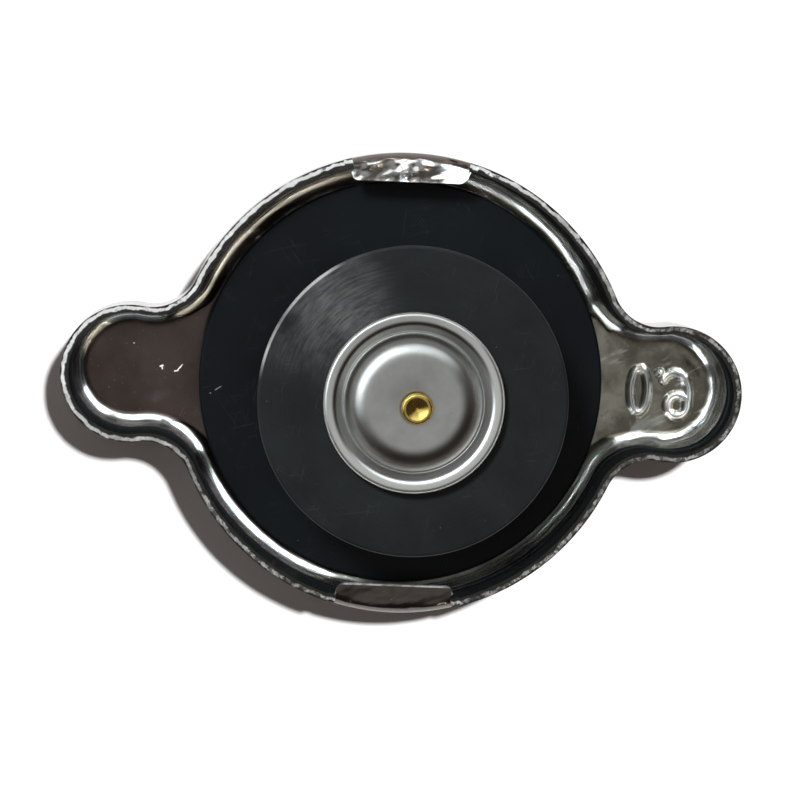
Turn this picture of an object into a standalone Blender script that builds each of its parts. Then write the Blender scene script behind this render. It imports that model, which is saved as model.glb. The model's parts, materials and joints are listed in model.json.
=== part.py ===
"""Radiator cap for a filler neck with cams: a pressed steel shell with two finger ears, a turning seal
disc, a sprung pressure valve and, in the middle of it, a small vacuum valve.

Metres, +Z up. The cap lies on its top plate with the valve side up, so z = 0 is the outer face of the top
plate and the rivet's axis is the Z axis. The ears lie along X and the folded locking tabs face along Y.
"""

import math

import bmesh
import bpy
from mathutils import Vector

MM = 0.001

# Clearances
SEAT_GAP = 0.3 * MM
RUN_GAP = 0.3 * MM

# Shell, pressed from one sheet
SHEET = 0.85 * MM
BODY_R = 24.5 * MM
SKIRT_HEIGHT = 12.5 * MM
INNER_CORNER_R = 2.0 * MM
EAR_R = 7.28 * MM
EAR_OVERHANG = 11.7 * MM
EAR_BLEND_R = 5.0 * MM
TAB_WIDTH = 12.6 * MM
TAB_REACH = 3.1 * MM
TAB_CORNER_R = 1.3 * MM
FOLD_R = 1.2 * MM
RELIEF_WIDTH = 0.9 * MM
DIMPLE_DEPTH = 4.6 * MM
DIMPLE_FLAT_R = 7.4 * MM
DIMPLE_SLOPE = 4.6 * MM

# Rivet and what turns on it
RIVET_R = 2.2 * MM
RIVET_HEAD_R = 4.2 * MM
RIVET_HEAD_HEIGHT = 0.8 * MM
RIVET_FLARE_R = 3.3 * MM
RIVET_FLARE_HEIGHT = 0.6 * MM
RIVET_RECESS_R = 1.3 * MM
RIVET_RECESS_MOUTH_R = 1.6 * MM
RIVET_DOME = 0.48 * MM
RIVET_RECESS_DEPTH = 0.9 * MM
FRICTION_WASHER_R = 6.4 * MM
FRICTION_WASHER_T = 0.4 * MM
DIAPHRAGM_T = 0.35 * MM
DIAPHRAGM_INSET = 0.9 * MM
DIAPHRAGM_RIB_R = 14.5 * MM
DIAPHRAGM_RIB_WIDTH = 3.0 * MM
DIAPHRAGM_RIB_DEPTH = 0.6 * MM
SEAL_T = 1.4 * MM
SEAL_EDGE_R = 0.35 * MM
SEAL_MARGIN = 2.05 * MM
CLAMP_T = 0.6 * MM
CLAMP_LIP = 0.9 * MM
CLAMP_CORNER_R = 0.36 * MM
CAGE_T = 0.5 * MM
CAGE_HOLE_R = 1.2 * MM
CAGE_CORNER_R = 0.8 * MM
CAGE_HOLES = 6

# Pressure valve, which hangs to one side of the rivet by the play that it has in its cage
VALVE_SHIFT_X = 0.9 * MM
VALVE_SHIFT_Y = -1.4 * MM
PRESSURE_TRAVEL = 1.5 * MM
EYELET_T = 0.5 * MM
EYELET_BORE_R = 2.7 * MM
EYELET_FLARE_R = 5.0 * MM
EYELET_HOLD = 0.6 * MM
EYELET_CORNER_R = 0.4 * MM
PLATE_T = 0.8 * MM
PLATE_INSET = 0.5 * MM
PLATE_EDGE_R = 0.25 * MM
GASKET_R = 16.3 * MM
GASKET_T = 2.0 * MM
GASKET_EDGE_R = 0.35 * MM
SPRING_WIRE = 1.2 * MM
SPRING_TURNS = 3.75
COIL_CLOSING = 0.55

# Vacuum valve
VACUUM_TRAVEL = 1.2 * MM
CUP_R = 9.5 * MM
CUP_T = 0.4 * MM
CUP_PLATEAU_R = 4.9 * MM
CUP_RISE = 2.0 * MM
CUP_VALLEY_R = 7.55 * MM
CUP_RIM_RISE = 1.15 * MM
CUP_ROLL_R = 0.5 * MM
CUP_WALL_LEAN = 1.6 * MM
CUP_PLATEAU_EDGE_R = 0.88 * MM
CUP_FOOT_R = 0.4 * MM
CUP_LIP_R = 0.24 * MM
STEM_R = 0.75 * MM
STEM_HEAD_R = 1.66 * MM
STEM_HEAD_HEIGHT = 0.75 * MM
STEM_HEAD_EDGE_R = 0.34 * MM
STEM_DIMPLE_R = 0.85 * MM
STEM_DIMPLE_DEPTH = 0.64 * MM
STEM_FLARE_R = 1.25 * MM
STEM_FLARE_HEIGHT = 0.35 * MM
GUIDE_T = 0.5 * MM
GUIDE_HOLE_R = 0.4 * MM
GUIDE_HOLES = 4
KEEPER_T = 0.4 * MM
VACUUM_WIRE = 0.24 * MM
VACUUM_TURNS = 4.5
WASHER_EDGE_R = 0.1 * MM
CUTTER_LENGTH = 2.5 * MM

# Facets
SHARP_ANGLE = math.radians(35)
QUARTER_EAR_STEPS = 7
QUARTER_BLEND_STEPS = 4
QUARTER_BODY_STEPS = 6
HALF_TAB_STEPS = 2
TAB_CORNER_STEPS = 3
DISH_STEPS = 4
CUP_STEPS = 32
CORNER_STEPS = 3
FOLD_STEPS = 3
LARGE_STEPS = 44
MEDIUM_STEPS = 28
SMALL_STEPS = 20
ROUND_STEPS = 2
COIL_STEPS = 20
FINE_COIL_STEPS = 10
RIB_STEPS = 4
DOME_STEPS = 3
ROLL_STEPS = 4
WIRE_RESOLUTION = 2
DRILL_SEGMENTS = 10

# Heights up the rivet, each from the piece below it
DIMPLE_TOP = DIMPLE_DEPTH + SHEET
FRICTION_WASHER_Z = DIMPLE_TOP + SEAT_GAP
DIAPHRAGM_TOP = FRICTION_WASHER_Z + FRICTION_WASHER_T + SEAT_GAP + DIAPHRAGM_T
SEAL_Z = DIAPHRAGM_TOP + SEAT_GAP
SEAL_TOP = SEAL_Z + SEAL_T
CLAMP_TOP = SEAL_TOP + SEAT_GAP + CLAMP_T
CAGE_Z = CLAMP_TOP + SEAT_GAP
RIVET_FLARE_Z = CAGE_Z + CAGE_T + SEAT_GAP
RIVET_TOP = RIVET_FLARE_Z + RIVET_FLARE_HEIGHT
EYELET_Z = RIVET_TOP + PRESSURE_TRAVEL + RUN_GAP
CAGE_TOP = EYELET_Z + EYELET_T + SEAT_GAP + CAGE_T
PLATE_Z = CAGE_TOP + PRESSURE_TRAVEL + RUN_GAP
GASKET_Z = PLATE_Z + PLATE_T + SEAT_GAP
GASKET_TOP = GASKET_Z + GASKET_T
EYELET_TOP = GASKET_TOP + SEAT_GAP + EYELET_T
CUP_VALLEY_Z = GASKET_TOP + SEAT_GAP + CUP_T
CUP_TOP = CUP_VALLEY_Z + CUP_RISE
STEM_HEAD_Z = CUP_TOP + SEAT_GAP
STEM_BOTTOM = EYELET_Z + SEAT_GAP
KEEPER_Z = STEM_BOTTOM + STEM_FLARE_HEIGHT + SEAT_GAP
VACUUM_SPRING_Z = KEEPER_Z + KEEPER_T + SEAT_GAP
GUIDE_Z = PLATE_Z + PLATE_T + SEAT_GAP

# Radii, each from the piece inside it
VALVE_SHIFT = math.hypot(VALVE_SHIFT_X, VALVE_SHIFT_Y)
RIVET_HOLE_R = RIVET_R + RUN_GAP
SEAL_R = BODY_R - SHEET - SEAL_MARGIN
EYELET_R = EYELET_BORE_R + EYELET_T
CAGE_MOUTH_R = EYELET_R + VALVE_SHIFT + RUN_GAP
EYELET_FLANGE_R = CAGE_MOUTH_R + VALVE_SHIFT + EYELET_HOLD
CAGE_R = EYELET_FLANGE_R + VALVE_SHIFT + RUN_GAP + CAGE_T
SPRING_R = CAGE_R + RUN_GAP + SPRING_WIRE / 2
CLAMP_R = SPRING_R + SPRING_WIRE / 2 + RUN_GAP + CLAMP_T
VALVE_HOLE_R = EYELET_R + SEAT_GAP
STEM_HOLE_R = STEM_R + RUN_GAP
VACUUM_SPRING_R = STEM_HOLE_R + VACUUM_WIRE / 2 + RUN_GAP / 2
EAR_X = BODY_R + EAR_OVERHANG - EAR_R
CORNER_R = INNER_CORNER_R + SHEET


def new_collection(name, hidden=False):
    group = bpy.data.collections.new(name)
    bpy.context.scene.collection.children.link(group)
    group.hide_render = hidden
    return group


def material(name, colour, roughness, metallic):
    """A plain finish, with its colour given as linear red, green and blue."""
    made = bpy.data.materials.new(name)
    made.use_nodes = True
    shader = made.node_tree.nodes["Principled BSDF"]
    shader.inputs["Base Color"].default_value = (*colour, 1.0)
    shader.inputs["Roughness"].default_value = roughness
    shader.inputs["Metallic"].default_value = metallic
    return made


def add_object(name, data, group, finish=None, parent=None):
    obj = bpy.data.objects.new(name, data)
    group.objects.link(obj)
    obj.parent = parent
    if finish:
        data.materials.append(finish)
    return obj


def add_axis(name, place, group, parent=None):
    """An empty on the axis that a group of pieces turns about or slides along."""
    axis = add_object(name, None, group, parent=parent)
    axis.location = place
    return axis


def mesh_of(shape, name):
    mesh = bpy.data.meshes.new(name)
    shape.to_mesh(mesh)
    shape.free()
    return mesh


def arc(centre_r, centre_z, radius, start, end, steps=ROUND_STEPS):
    """Points of a round stretch in a turned profile, both ends included, with angles in degrees."""
    angles = [math.radians(start + (end - start) * i / steps) for i in range(steps + 1)]
    return [(centre_r + radius * math.cos(a), centre_z + radius * math.sin(a)) for a in angles]


def rounded(corners, radii, steps=ROUND_STEPS):
    """A line through the corners with each inner one rounded to its own radius."""
    line = [corners[0]]
    for before, corner, after, radius in zip(corners, corners[1:], corners[2:], radii):
        point = Vector(corner)
        back = (Vector(before) - point).normalized()
        ahead = (Vector(after) - point).normalized()
        half = back.angle(ahead) / 2
        centre = point + (back + ahead).normalized() * (radius / math.sin(half))
        first = point + back * (radius / math.tan(half)) - centre
        last = point + ahead * (radius / math.tan(half)) - centre
        turn = first.angle_signed(last)
        for i in range(steps + 1):
            a = -turn * i / steps
            line.append(
                (
                    centre.x + first.x * math.cos(a) - first.y * math.sin(a),
                    centre.y + first.x * math.sin(a) + first.y * math.cos(a),
                )
            )
    line.append(corners[-1])
    return line


def turned(name, profile, group, finish, parent=None, closed=True, steps=LARGE_STEPS):
    """A profile of (radius, height) points turned about Z. It runs down the outer side."""
    shape = bmesh.new()
    verts = [shape.verts.new((r, 0.0, z)) for r, z in profile]
    for a, b in zip(verts, verts[1:]):
        shape.edges.new((a, b))
    if closed:
        shape.edges.new((verts[-1], verts[0]))
    obj = add_object(name, mesh_of(shape, name), group, finish, parent)
    screw = obj.modifiers.new("turn", "SCREW")
    screw.axis = "Z"
    screw.steps = steps
    screw.render_steps = steps
    screw.use_merge_vertices = True
    screw.merge_threshold = 0.00001
    screw.use_smooth_shade = False
    return obj


def turned_sheet(name, line, thickness, group, finish, parent=None, steps=LARGE_STEPS):
    """Sheet metal turned about Z: the line is its outer skin, and the thickness lies behind it."""
    obj = turned(name, line, group, finish, parent, closed=False, steps=steps)
    wall = obj.modifiers.new("sheet", "SOLIDIFY")
    wall.thickness = thickness
    wall.offset = -1.0
    wall.use_even_offset = True
    return obj


def ring_profile(inner, outer, low, thickness, edge):
    """A flat ring's profile with its two outer edges rounded."""
    high = low + thickness
    profile = [(inner, high)]
    profile += arc(outer - edge, high - edge, edge, 90, 0)
    profile += arc(outer - edge, low + edge, edge, 0, -90)
    profile.append((inner, low))
    return profile


def washer(name, inner, outer, low, thickness, group, finish, parent=None, steps=SMALL_STEPS):
    profile = ring_profile(inner, outer, low, thickness, WASHER_EDGE_R)
    return turned(name, profile, group, finish, parent, steps=steps)


def coil(name, radius, wire, low, high, turns, steps, group, finish, parent=None):
    """A compression spring as a wire along a helix of even facets.

    The end turns close up: the climb falls off there by COIL_CLOSING of its mean.
    """
    curve = bpy.data.curves.new(name, "CURVE")
    curve.dimensions = "3D"
    curve.bevel_depth = wire / 2
    curve.bevel_resolution = WIRE_RESOLUTION
    curve.use_fill_caps = True
    count = round(turns * steps)
    spline = curve.splines.new("POLY")
    spline.points.add(count)
    rise = high - low - wire
    for i, point in enumerate(spline.points):
        share = i / count
        angle = 2 * math.pi * turns * share
        climb = share - COIL_CLOSING * math.sin(2 * math.pi * share) / (2 * math.pi)
        height = low + wire / 2 + rise * climb
        point.co = (radius * math.cos(angle), radius * math.sin(angle), height, 1.0)
    return add_object(name, curve, group, finish, parent)


def cut(target, cutter):
    """Takes the cutter out of the target, and hides it."""
    cutter.hide_render = True
    cutter.display_type = "WIRE"
    boolean = target.modifiers.new("cut " + cutter.name, "BOOLEAN")
    boolean.operation = "DIFFERENCE"
    boolean.solver = "EXACT"
    boolean.object = cutter


def drills(name, places, radius, depth, group, parent=None):
    """Cutting rods in one object, each at a place and along a direction."""
    shape = bmesh.new()
    for place, direction in places:
        turn = Vector((0, 0, 1)).rotation_difference(Vector(direction)).to_matrix().to_4x4()
        turn.translation = place
        bmesh.ops.create_cone(
            shape,
            cap_ends=True,
            segments=DRILL_SEGMENTS,
            radius1=radius,
            radius2=radius,
            depth=depth,
            matrix=turn,
        )
    return add_object(name, mesh_of(shape, name), group, parent=parent)


def quarter_outline():
    """Columns of the shell from an ear's tip to the middle of a tab.

    A column is (centre x, centre y, radius, side, angle, kind): its point lies on an arc, side is 1 on
    an arc that bulges outwards and -1 on the hollow blend beside the ear, and an inset moves the point
    along the arc's radius. The kind says what the skirt's edge does there.
    """
    to_body = BODY_R + EAR_BLEND_R
    to_ear = EAR_R + EAR_BLEND_R
    lean = math.acos((to_body**2 + EAR_X**2 - to_ear**2) / (2 * to_body * EAR_X))
    blend = Vector((to_body * math.cos(lean), to_body * math.sin(lean)))
    to_blend = blend - Vector((EAR_X, 0))
    ear_end = math.atan2(to_blend.y, to_blend.x)
    tab_side = math.acos(TAB_WIDTH / 2 / BODY_R)
    corner_side = math.acos((TAB_WIDTH / 2 - TAB_CORNER_R) / BODY_R)
    relief_side = math.acos((TAB_WIDTH / 2 + RELIEF_WIDTH) / BODY_R)

    def spread(centre, radius, side, start, end, steps, kind, skip):
        return [
            (centre[0], centre[1], radius, side, start + (end - start) * i / steps, kind)
            for i in range(skip, steps + 1)
        ]

    columns = spread((EAR_X, 0), EAR_R, 1, 0, ear_end, QUARTER_EAR_STEPS, "plain", 0)
    columns += spread(
        blend, EAR_BLEND_R, -1, ear_end + math.pi, lean + math.pi, QUARTER_BLEND_STEPS, "plain", 1
    )
    columns += spread((0, 0), BODY_R, 1, lean, relief_side, QUARTER_BODY_STEPS, "plain", 1)
    columns += spread((0, 0), BODY_R, 1, relief_side, tab_side, 1, "tab side", 1)
    columns += spread((0, 0), BODY_R, 1, tab_side, corner_side, TAB_CORNER_STEPS, "tab", 1)
    columns += spread((0, 0), BODY_R, 1, corner_side, math.pi / 2, HALF_TAB_STEPS, "tab", 1)
    return columns


def full_outline():
    """The quarter mirrored round the cap, counterclockwise, as (column, x sign, y sign)."""
    quarter = quarter_outline()
    there, back = quarter[:-1], quarter[:0:-1]
    ring = [(c, 1, 1) for c in there]
    ring += [(c, -1, 1) for c in back]
    ring += [(c, -1, -1) for c in there]
    ring += [(c, 1, -1) for c in back]
    return ring


def outline_point(place, inset):
    (x, y, radius, side, angle, _kind), sign_x, sign_y = place
    reach = radius - side * inset
    return sign_x * (x + reach * math.cos(angle)), sign_y * (y + reach * math.sin(angle))


def tab_edge(across):
    """How far in the tab's straight edge lies at this distance from its middle, with round corners."""
    past = min(max(abs(across) - (TAB_WIDTH / 2 - TAB_CORNER_R), 0), TAB_CORNER_R)
    back = TAB_CORNER_R - math.sqrt(TAB_CORNER_R**2 - past**2)
    return BODY_R - TAB_REACH + back


def dish_rows():
    """Rings of points of the recess round the rivet's head, from the hole out to the flat plate."""
    line = [(RIVET_HOLE_R, DIMPLE_DEPTH)]
    for i in range(DISH_STEPS + 1):
        share = i / DISH_STEPS
        drop = (1 - math.cos(math.pi * share)) / 2
        line.append((DIMPLE_FLAT_R + DIMPLE_SLOPE * share, DIMPLE_DEPTH * (1 - drop)))
    angles = [2 * math.pi * i / LARGE_STEPS for i in range(LARGE_STEPS)]
    return [[(r * math.cos(a), r * math.sin(a), z) for a in angles] for r, z in line]


def skirt_rows(ring):
    """Rings of points of the outer skin, from the flat plate's edge round the corner and up the skirt."""
    rows = []
    for i in range(CORNER_STEPS + 1):
        a = math.pi / 2 * i / CORNER_STEPS
        inset, z = CORNER_R * (1 - math.sin(a)), CORNER_R * (1 - math.cos(a))
        rows.append([(*outline_point(place, inset), z) for place in ring])
    fold_z = SKIRT_HEIGHT - FOLD_R
    rows.append([(*outline_point(place, 0), fold_z) for place in ring])
    return rows


def fold_rows(places):
    """Rows of a locking tab above the fold line: round the fold, then in to the tab's straight edge."""
    rows = []
    for i in range(1, FOLD_STEPS + 1):
        a = math.pi / 2 * i / FOLD_STEPS
        inset = FOLD_R * (1 - math.cos(a))
        z = SKIRT_HEIGHT - FOLD_R * (1 - math.sin(a))
        rows.append([(*outline_point(place, inset), z) for place in places])
    edge = []
    for place in places:
        x, y = outline_point(place, 0)
        edge.append((x, math.copysign(tab_edge(x), y), SKIRT_HEIGHT))
    rows.append(edge)
    return rows


def loft(shape, rows):
    """Faces between neighbouring closed rings of points. Returns the innermost and the outermost ring."""
    rings = [[shape.verts.new(p) for p in row] for row in rows]
    for inner, outer in zip(rings, rings[1:]):
        for i in range(len(inner)):
            j = (i + 1) % len(inner)
            shape.faces.new((inner[i], inner[j], outer[j], outer[i]))
    return rings[0], rings[-1]


def build_shell(group, finish):
    """The shell's outer skin, made solid by the sheet's thickness.

    The recess and the skirt are lofts, the flat plate fills the space between them, and the tabs fold in
    from the skirt.
    """
    ring = full_outline()
    count = len(ring)
    shape = bmesh.new()
    _hole, dish_edge = loft(shape, dish_rows())
    plate_edge, skirt_top = loft(shape, skirt_rows(ring))
    borders = []
    for loop in (dish_edge, plate_edge):
        borders += [shape.edges.get(pair) for pair in zip(loop, loop[1:] + loop[:1])]
    bmesh.ops.triangle_fill(shape, use_beauty=True, edges=borders, normal=(0, 0, -1))

    kinds = [place[0][-1] for place in ring]
    tab_columns = [i for i in range(count) if kinds[i] != "plain"]
    plain_columns = [i for i in range(count) if kinds[i] == "plain"]
    rim = {i: shape.verts.new((*outline_point(ring[i], 0), SKIRT_HEIGHT)) for i in plain_columns}
    for i in plain_columns:
        j = (i + 1) % count
        if j in rim:
            shape.faces.new((skirt_top[i], skirt_top[j], rim[j], rim[i]))

    for sign in (1, -1):
        columns = [i for i in tab_columns if ring[i][2] * sign > 0]
        below = [skirt_top[i] for i in columns]
        for row in fold_rows([ring[i] for i in columns]):
            above = [shape.verts.new(p) for p in row]
            for a in range(len(columns) - 1):
                shape.faces.new((below[a], below[a + 1], above[a + 1], above[a]))
            below = above
    obj = add_object("shell", mesh_of(shape, "shell"), group, finish)
    wall = obj.modifiers.new("sheet", "SOLIDIFY")
    wall.thickness = SHEET
    wall.offset = -1.0
    wall.use_even_offset = True
    return obj


def build_rivet(group, finish):
    """A semi-tubular rivet: its head lies in the shell's dimple and its end is flared over the cage."""
    head_low = DIMPLE_DEPTH - SEAT_GAP - RIVET_HEAD_HEIGHT
    head_high = head_low + RIVET_HEAD_HEIGHT
    roll = RIVET_FLARE_HEIGHT / 2
    profile = [(0, RIVET_TOP - RIVET_RECESS_DEPTH)]
    profile += [(RIVET_RECESS_R, RIVET_TOP - RIVET_RECESS_DEPTH)]
    profile += [(RIVET_RECESS_MOUTH_R, RIVET_TOP)]
    profile += arc(RIVET_FLARE_R - roll, RIVET_TOP - roll, roll, 90, -90)
    profile += [(RIVET_R, RIVET_FLARE_Z), (RIVET_R, head_high), (RIVET_HEAD_R, head_high)]
    for i in range(DOME_STEPS + 1):
        a = math.pi / 2 * i / DOME_STEPS
        profile.append((RIVET_HEAD_R * math.cos(a), head_low + RIVET_DOME * (1 - math.sin(a))))
    return turned("centre_rivet", profile, group, finish, closed=False, steps=SMALL_STEPS)


def build_diaphragm(group, finish, parent):
    """A spring disc behind the seal, stiffened by a pressed ring."""
    edge = SEAL_R - DIAPHRAGM_INSET
    half = DIAPHRAGM_RIB_WIDTH / 2
    line = [(RIVET_HOLE_R, DIAPHRAGM_TOP)]
    for i in range(RIB_STEPS + 1):
        share = i / RIB_STEPS
        depth = DIAPHRAGM_RIB_DEPTH * (1 - math.cos(2 * math.pi * share)) / 2
        line.append((DIAPHRAGM_RIB_R - half + DIAPHRAGM_RIB_WIDTH * share, DIAPHRAGM_TOP - depth))
    line.append((edge, DIAPHRAGM_TOP))
    return turned_sheet("diaphragm_disc", line, DIAPHRAGM_T, group, finish, parent, steps=MEDIUM_STEPS)


def build_cage(group, cutters, finish, parent):
    """The cage inside the spring: a cup with a turned-in mouth that stops the valve, and flow holes."""
    line = rounded(
        [
            (CAGE_MOUTH_R, CAGE_TOP),
            (CAGE_R, CAGE_TOP),
            (CAGE_R, CAGE_Z),
            (RIVET_HOLE_R, CAGE_Z),
        ],
        [CAGE_CORNER_R, CAGE_CORNER_R],
    )
    cage = turned_sheet("valve_cage", line, CAGE_T, group, finish, parent, steps=MEDIUM_STEPS)
    middle = (CAGE_Z + CAGE_TOP) / 2
    places = []
    for i in range(CAGE_HOLES):
        a = 2 * math.pi * i / CAGE_HOLES
        way = Vector((math.cos(a), math.sin(a), 0))
        places.append((way * (CAGE_R - CAGE_T / 2) + Vector((0, 0, middle)), way))
    cut(cage, drills("cage_hole_cutter", places, CAGE_HOLE_R, CUTTER_LENGTH, cutters, parent))
    return cage


def build_guide(group, cutters, finish, parent):
    """The disc pressed in the eyelet, which guides the stem and lets coolant past it."""
    outer = EYELET_BORE_R - SEAT_GAP
    guide = washer("stem_guide", STEM_HOLE_R, outer, GUIDE_Z, GUIDE_T, group, finish, parent)
    spread = (VACUUM_SPRING_R + VACUUM_WIRE / 2 + outer) / 2
    places = []
    for i in range(GUIDE_HOLES):
        a = 2 * math.pi * i / GUIDE_HOLES
        place = Vector((spread * math.cos(a), spread * math.sin(a), GUIDE_Z + GUIDE_T / 2))
        places.append((place, (0, 0, 1)))
    cut(guide, drills("guide_hole_cutter", places, GUIDE_HOLE_R, CUTTER_LENGTH, cutters, parent))
    return guide


def build_gasket(group, finish, parent):
    """The rubber ring that closes the filler neck's lower seat."""
    profile = ring_profile(VALVE_HOLE_R, GASKET_R, GASKET_Z, GASKET_T, GASKET_EDGE_R)
    return turned("pressure_gasket", profile, group, finish, parent)


def build_cup(group, finish, parent):
    """The vacuum valve's cup: a raised middle, a round valley that seats on the gasket, a rolled rim."""
    rim_z = CUP_VALLEY_Z + CUP_RIM_RISE
    wall_top = CUP_PLATEAU_R + CUP_T
    line = rounded(
        [
            (STEM_HOLE_R, CUP_TOP),
            (wall_top, CUP_TOP),
            (wall_top + CUP_WALL_LEAN, CUP_VALLEY_Z),
            (CUP_VALLEY_R + CUP_FOOT_R, CUP_VALLEY_Z),
            (CUP_R - CUP_ROLL_R * 2, rim_z),
            (CUP_R - CUP_ROLL_R, rim_z),
        ],
        [CUP_PLATEAU_EDGE_R, CUP_FOOT_R, CUP_FOOT_R, CUP_LIP_R],
    )
    line[-1:] = arc(CUP_R - CUP_ROLL_R, rim_z - CUP_ROLL_R, CUP_ROLL_R, 90, -20, ROLL_STEPS)
    return turned_sheet("vacuum_cup", line, CUP_T, group, finish, parent, steps=CUP_STEPS)


def build_stem(group, finish, parent):
    """The brass stem: a domed head with a cone pressed in it, and an end flared over the keeper."""
    top = STEM_HEAD_Z + STEM_HEAD_HEIGHT
    edge = STEM_HEAD_EDGE_R
    flare_top = STEM_BOTTOM + STEM_FLARE_HEIGHT
    profile = [(0, top - STEM_DIMPLE_DEPTH), (STEM_DIMPLE_R, top)]
    profile += arc(STEM_HEAD_R - edge, top - edge, edge, 90, 0)
    profile += [(STEM_HEAD_R, STEM_HEAD_Z), (STEM_R, STEM_HEAD_Z)]
    profile += [(STEM_R, flare_top), (STEM_FLARE_R, flare_top)]
    profile += [(STEM_FLARE_R, STEM_BOTTOM), (0, STEM_BOTTOM)]
    return turned("vacuum_stem", profile, group, finish, parent, closed=False, steps=SMALL_STEPS)


def main():
    for obj in list(bpy.data.objects):
        bpy.data.objects.remove(obj, do_unlink=True)
    parts = new_collection("radiator_cap")
    cutters = new_collection("cutters", hidden=True)
    chrome = material("chromed steel", (0.55, 0.55, 0.55), 0.12, 1.0)
    zinc = material("zinc plated steel", (0.45, 0.46, 0.47), 0.35, 1.0)
    stainless = material("stainless steel", (0.50, 0.50, 0.49), 0.30, 1.0)
    spring_steel = material("spring steel", (0.30, 0.30, 0.31), 0.35, 1.0)
    brass = material("brass", (0.75, 0.52, 0.20), 0.20, 1.0)
    seal_rubber = material("seal rubber", (0.012, 0.014, 0.017), 0.45, 0.0)
    gasket_rubber = material("gasket rubber", (0.035, 0.037, 0.038), 0.55, 0.0)

    build_shell(parts, chrome)
    build_rivet(parts, zinc)
    washer(
        "friction_washer",
        RIVET_HOLE_R,
        FRICTION_WASHER_R,
        FRICTION_WASHER_Z,
        FRICTION_WASHER_T,
        parts,
        brass,
    )

    swivel = add_axis("swivel_axis", (0, 0, 0), parts)
    build_diaphragm(parts, stainless, swivel)
    seal = ring_profile(RIVET_HOLE_R, SEAL_R, SEAL_Z, SEAL_T, SEAL_EDGE_R)
    turned("upper_seal", seal, parts, seal_rubber, swivel)
    clamp_bore = CLAMP_R - CLAMP_T
    clamp = rounded(
        [(RIVET_HOLE_R, CLAMP_TOP), (clamp_bore, CLAMP_TOP), (clamp_bore, CLAMP_TOP + CLAMP_LIP)],
        [CLAMP_CORNER_R],
    )
    turned_sheet("seal_clamp", clamp, CLAMP_T, parts, zinc, swivel, steps=MEDIUM_STEPS)
    build_cage(parts, cutters, zinc, swivel)
    coil(
        "pressure_spring",
        SPRING_R,
        SPRING_WIRE,
        CLAMP_TOP + SEAT_GAP,
        PLATE_Z - SEAT_GAP,
        SPRING_TURNS,
        COIL_STEPS,
        parts,
        spring_steel,
        swivel,
    )

    valve = add_axis("pressure_valve_axis", (VALVE_SHIFT_X, VALVE_SHIFT_Y, 0), parts, swivel)
    plate = ring_profile(VALVE_HOLE_R, GASKET_R - PLATE_INSET, PLATE_Z, PLATE_T, PLATE_EDGE_R)
    turned("valve_plate", plate, parts, zinc, valve, steps=MEDIUM_STEPS)
    build_gasket(parts, gasket_rubber, valve)
    eyelet = rounded(
        [
            (EYELET_FLANGE_R, EYELET_Z),
            (EYELET_BORE_R, EYELET_Z),
            (EYELET_BORE_R, EYELET_TOP),
            (EYELET_FLARE_R, EYELET_TOP),
        ],
        [EYELET_CORNER_R, EYELET_CORNER_R],
    )
    turned_sheet("valve_eyelet", eyelet, EYELET_T, parts, zinc, valve, steps=SMALL_STEPS)
    build_guide(parts, cutters, zinc, valve)
    coil(
        "vacuum_spring",
        VACUUM_SPRING_R,
        VACUUM_WIRE,
        VACUUM_SPRING_Z,
        GUIDE_Z - SEAT_GAP,
        VACUUM_TURNS,
        FINE_COIL_STEPS,
        parts,
        spring_steel,
        valve,
    )

    stem = add_axis("vacuum_valve_axis", (0, 0, 0), parts, valve)
    build_cup(parts, stainless, stem)
    build_stem(parts, brass, stem)
    keeper_r = EYELET_BORE_R - RUN_GAP - SEAT_GAP
    washer(
        "stem_keeper",
        STEM_HOLE_R,
        keeper_r,
        KEEPER_Z,
        KEEPER_T,
        parts,
        zinc,
        stem,
    )
    for obj in parts.objects:
        if obj.type == "MESH":
            obj.data.shade_smooth()
            obj.data.set_sharp_from_angle(angle=SHARP_ANGLE)


main()
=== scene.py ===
"""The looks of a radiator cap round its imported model: fine surfaces, finishes, floor, light and camera.

Metres, +Z up. The cap lies on its top plate with the valve side up, the numbered ear towards +X, and the
rivet's axis is the Z axis.
"""

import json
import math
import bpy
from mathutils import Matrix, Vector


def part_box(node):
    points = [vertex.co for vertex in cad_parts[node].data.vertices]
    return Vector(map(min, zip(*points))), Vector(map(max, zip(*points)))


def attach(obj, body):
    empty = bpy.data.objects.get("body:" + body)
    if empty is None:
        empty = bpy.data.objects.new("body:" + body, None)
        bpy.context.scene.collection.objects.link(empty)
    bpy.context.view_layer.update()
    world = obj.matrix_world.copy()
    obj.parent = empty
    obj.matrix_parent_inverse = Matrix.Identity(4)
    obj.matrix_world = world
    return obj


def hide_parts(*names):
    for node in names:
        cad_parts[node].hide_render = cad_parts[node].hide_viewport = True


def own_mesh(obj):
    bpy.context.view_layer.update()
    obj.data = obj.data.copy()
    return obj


bl_info = {
    "name": "Radiator Cap Looks",
    "version": (1, 0, 0),
    "blender": (4, 5, 0),
    "location": "3D View > Sidebar > Radiator Cap",
    "description": "Fine surfaces, finishes and a stage for a radiator cap, built round its packed model",
    "category": "Object",
}

import bmesh
import bpy
import numpy as np
from bpy.props import FloatProperty, FloatVectorProperty, PointerProperty
from mathutils import Matrix, Quaternion, Vector

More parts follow.
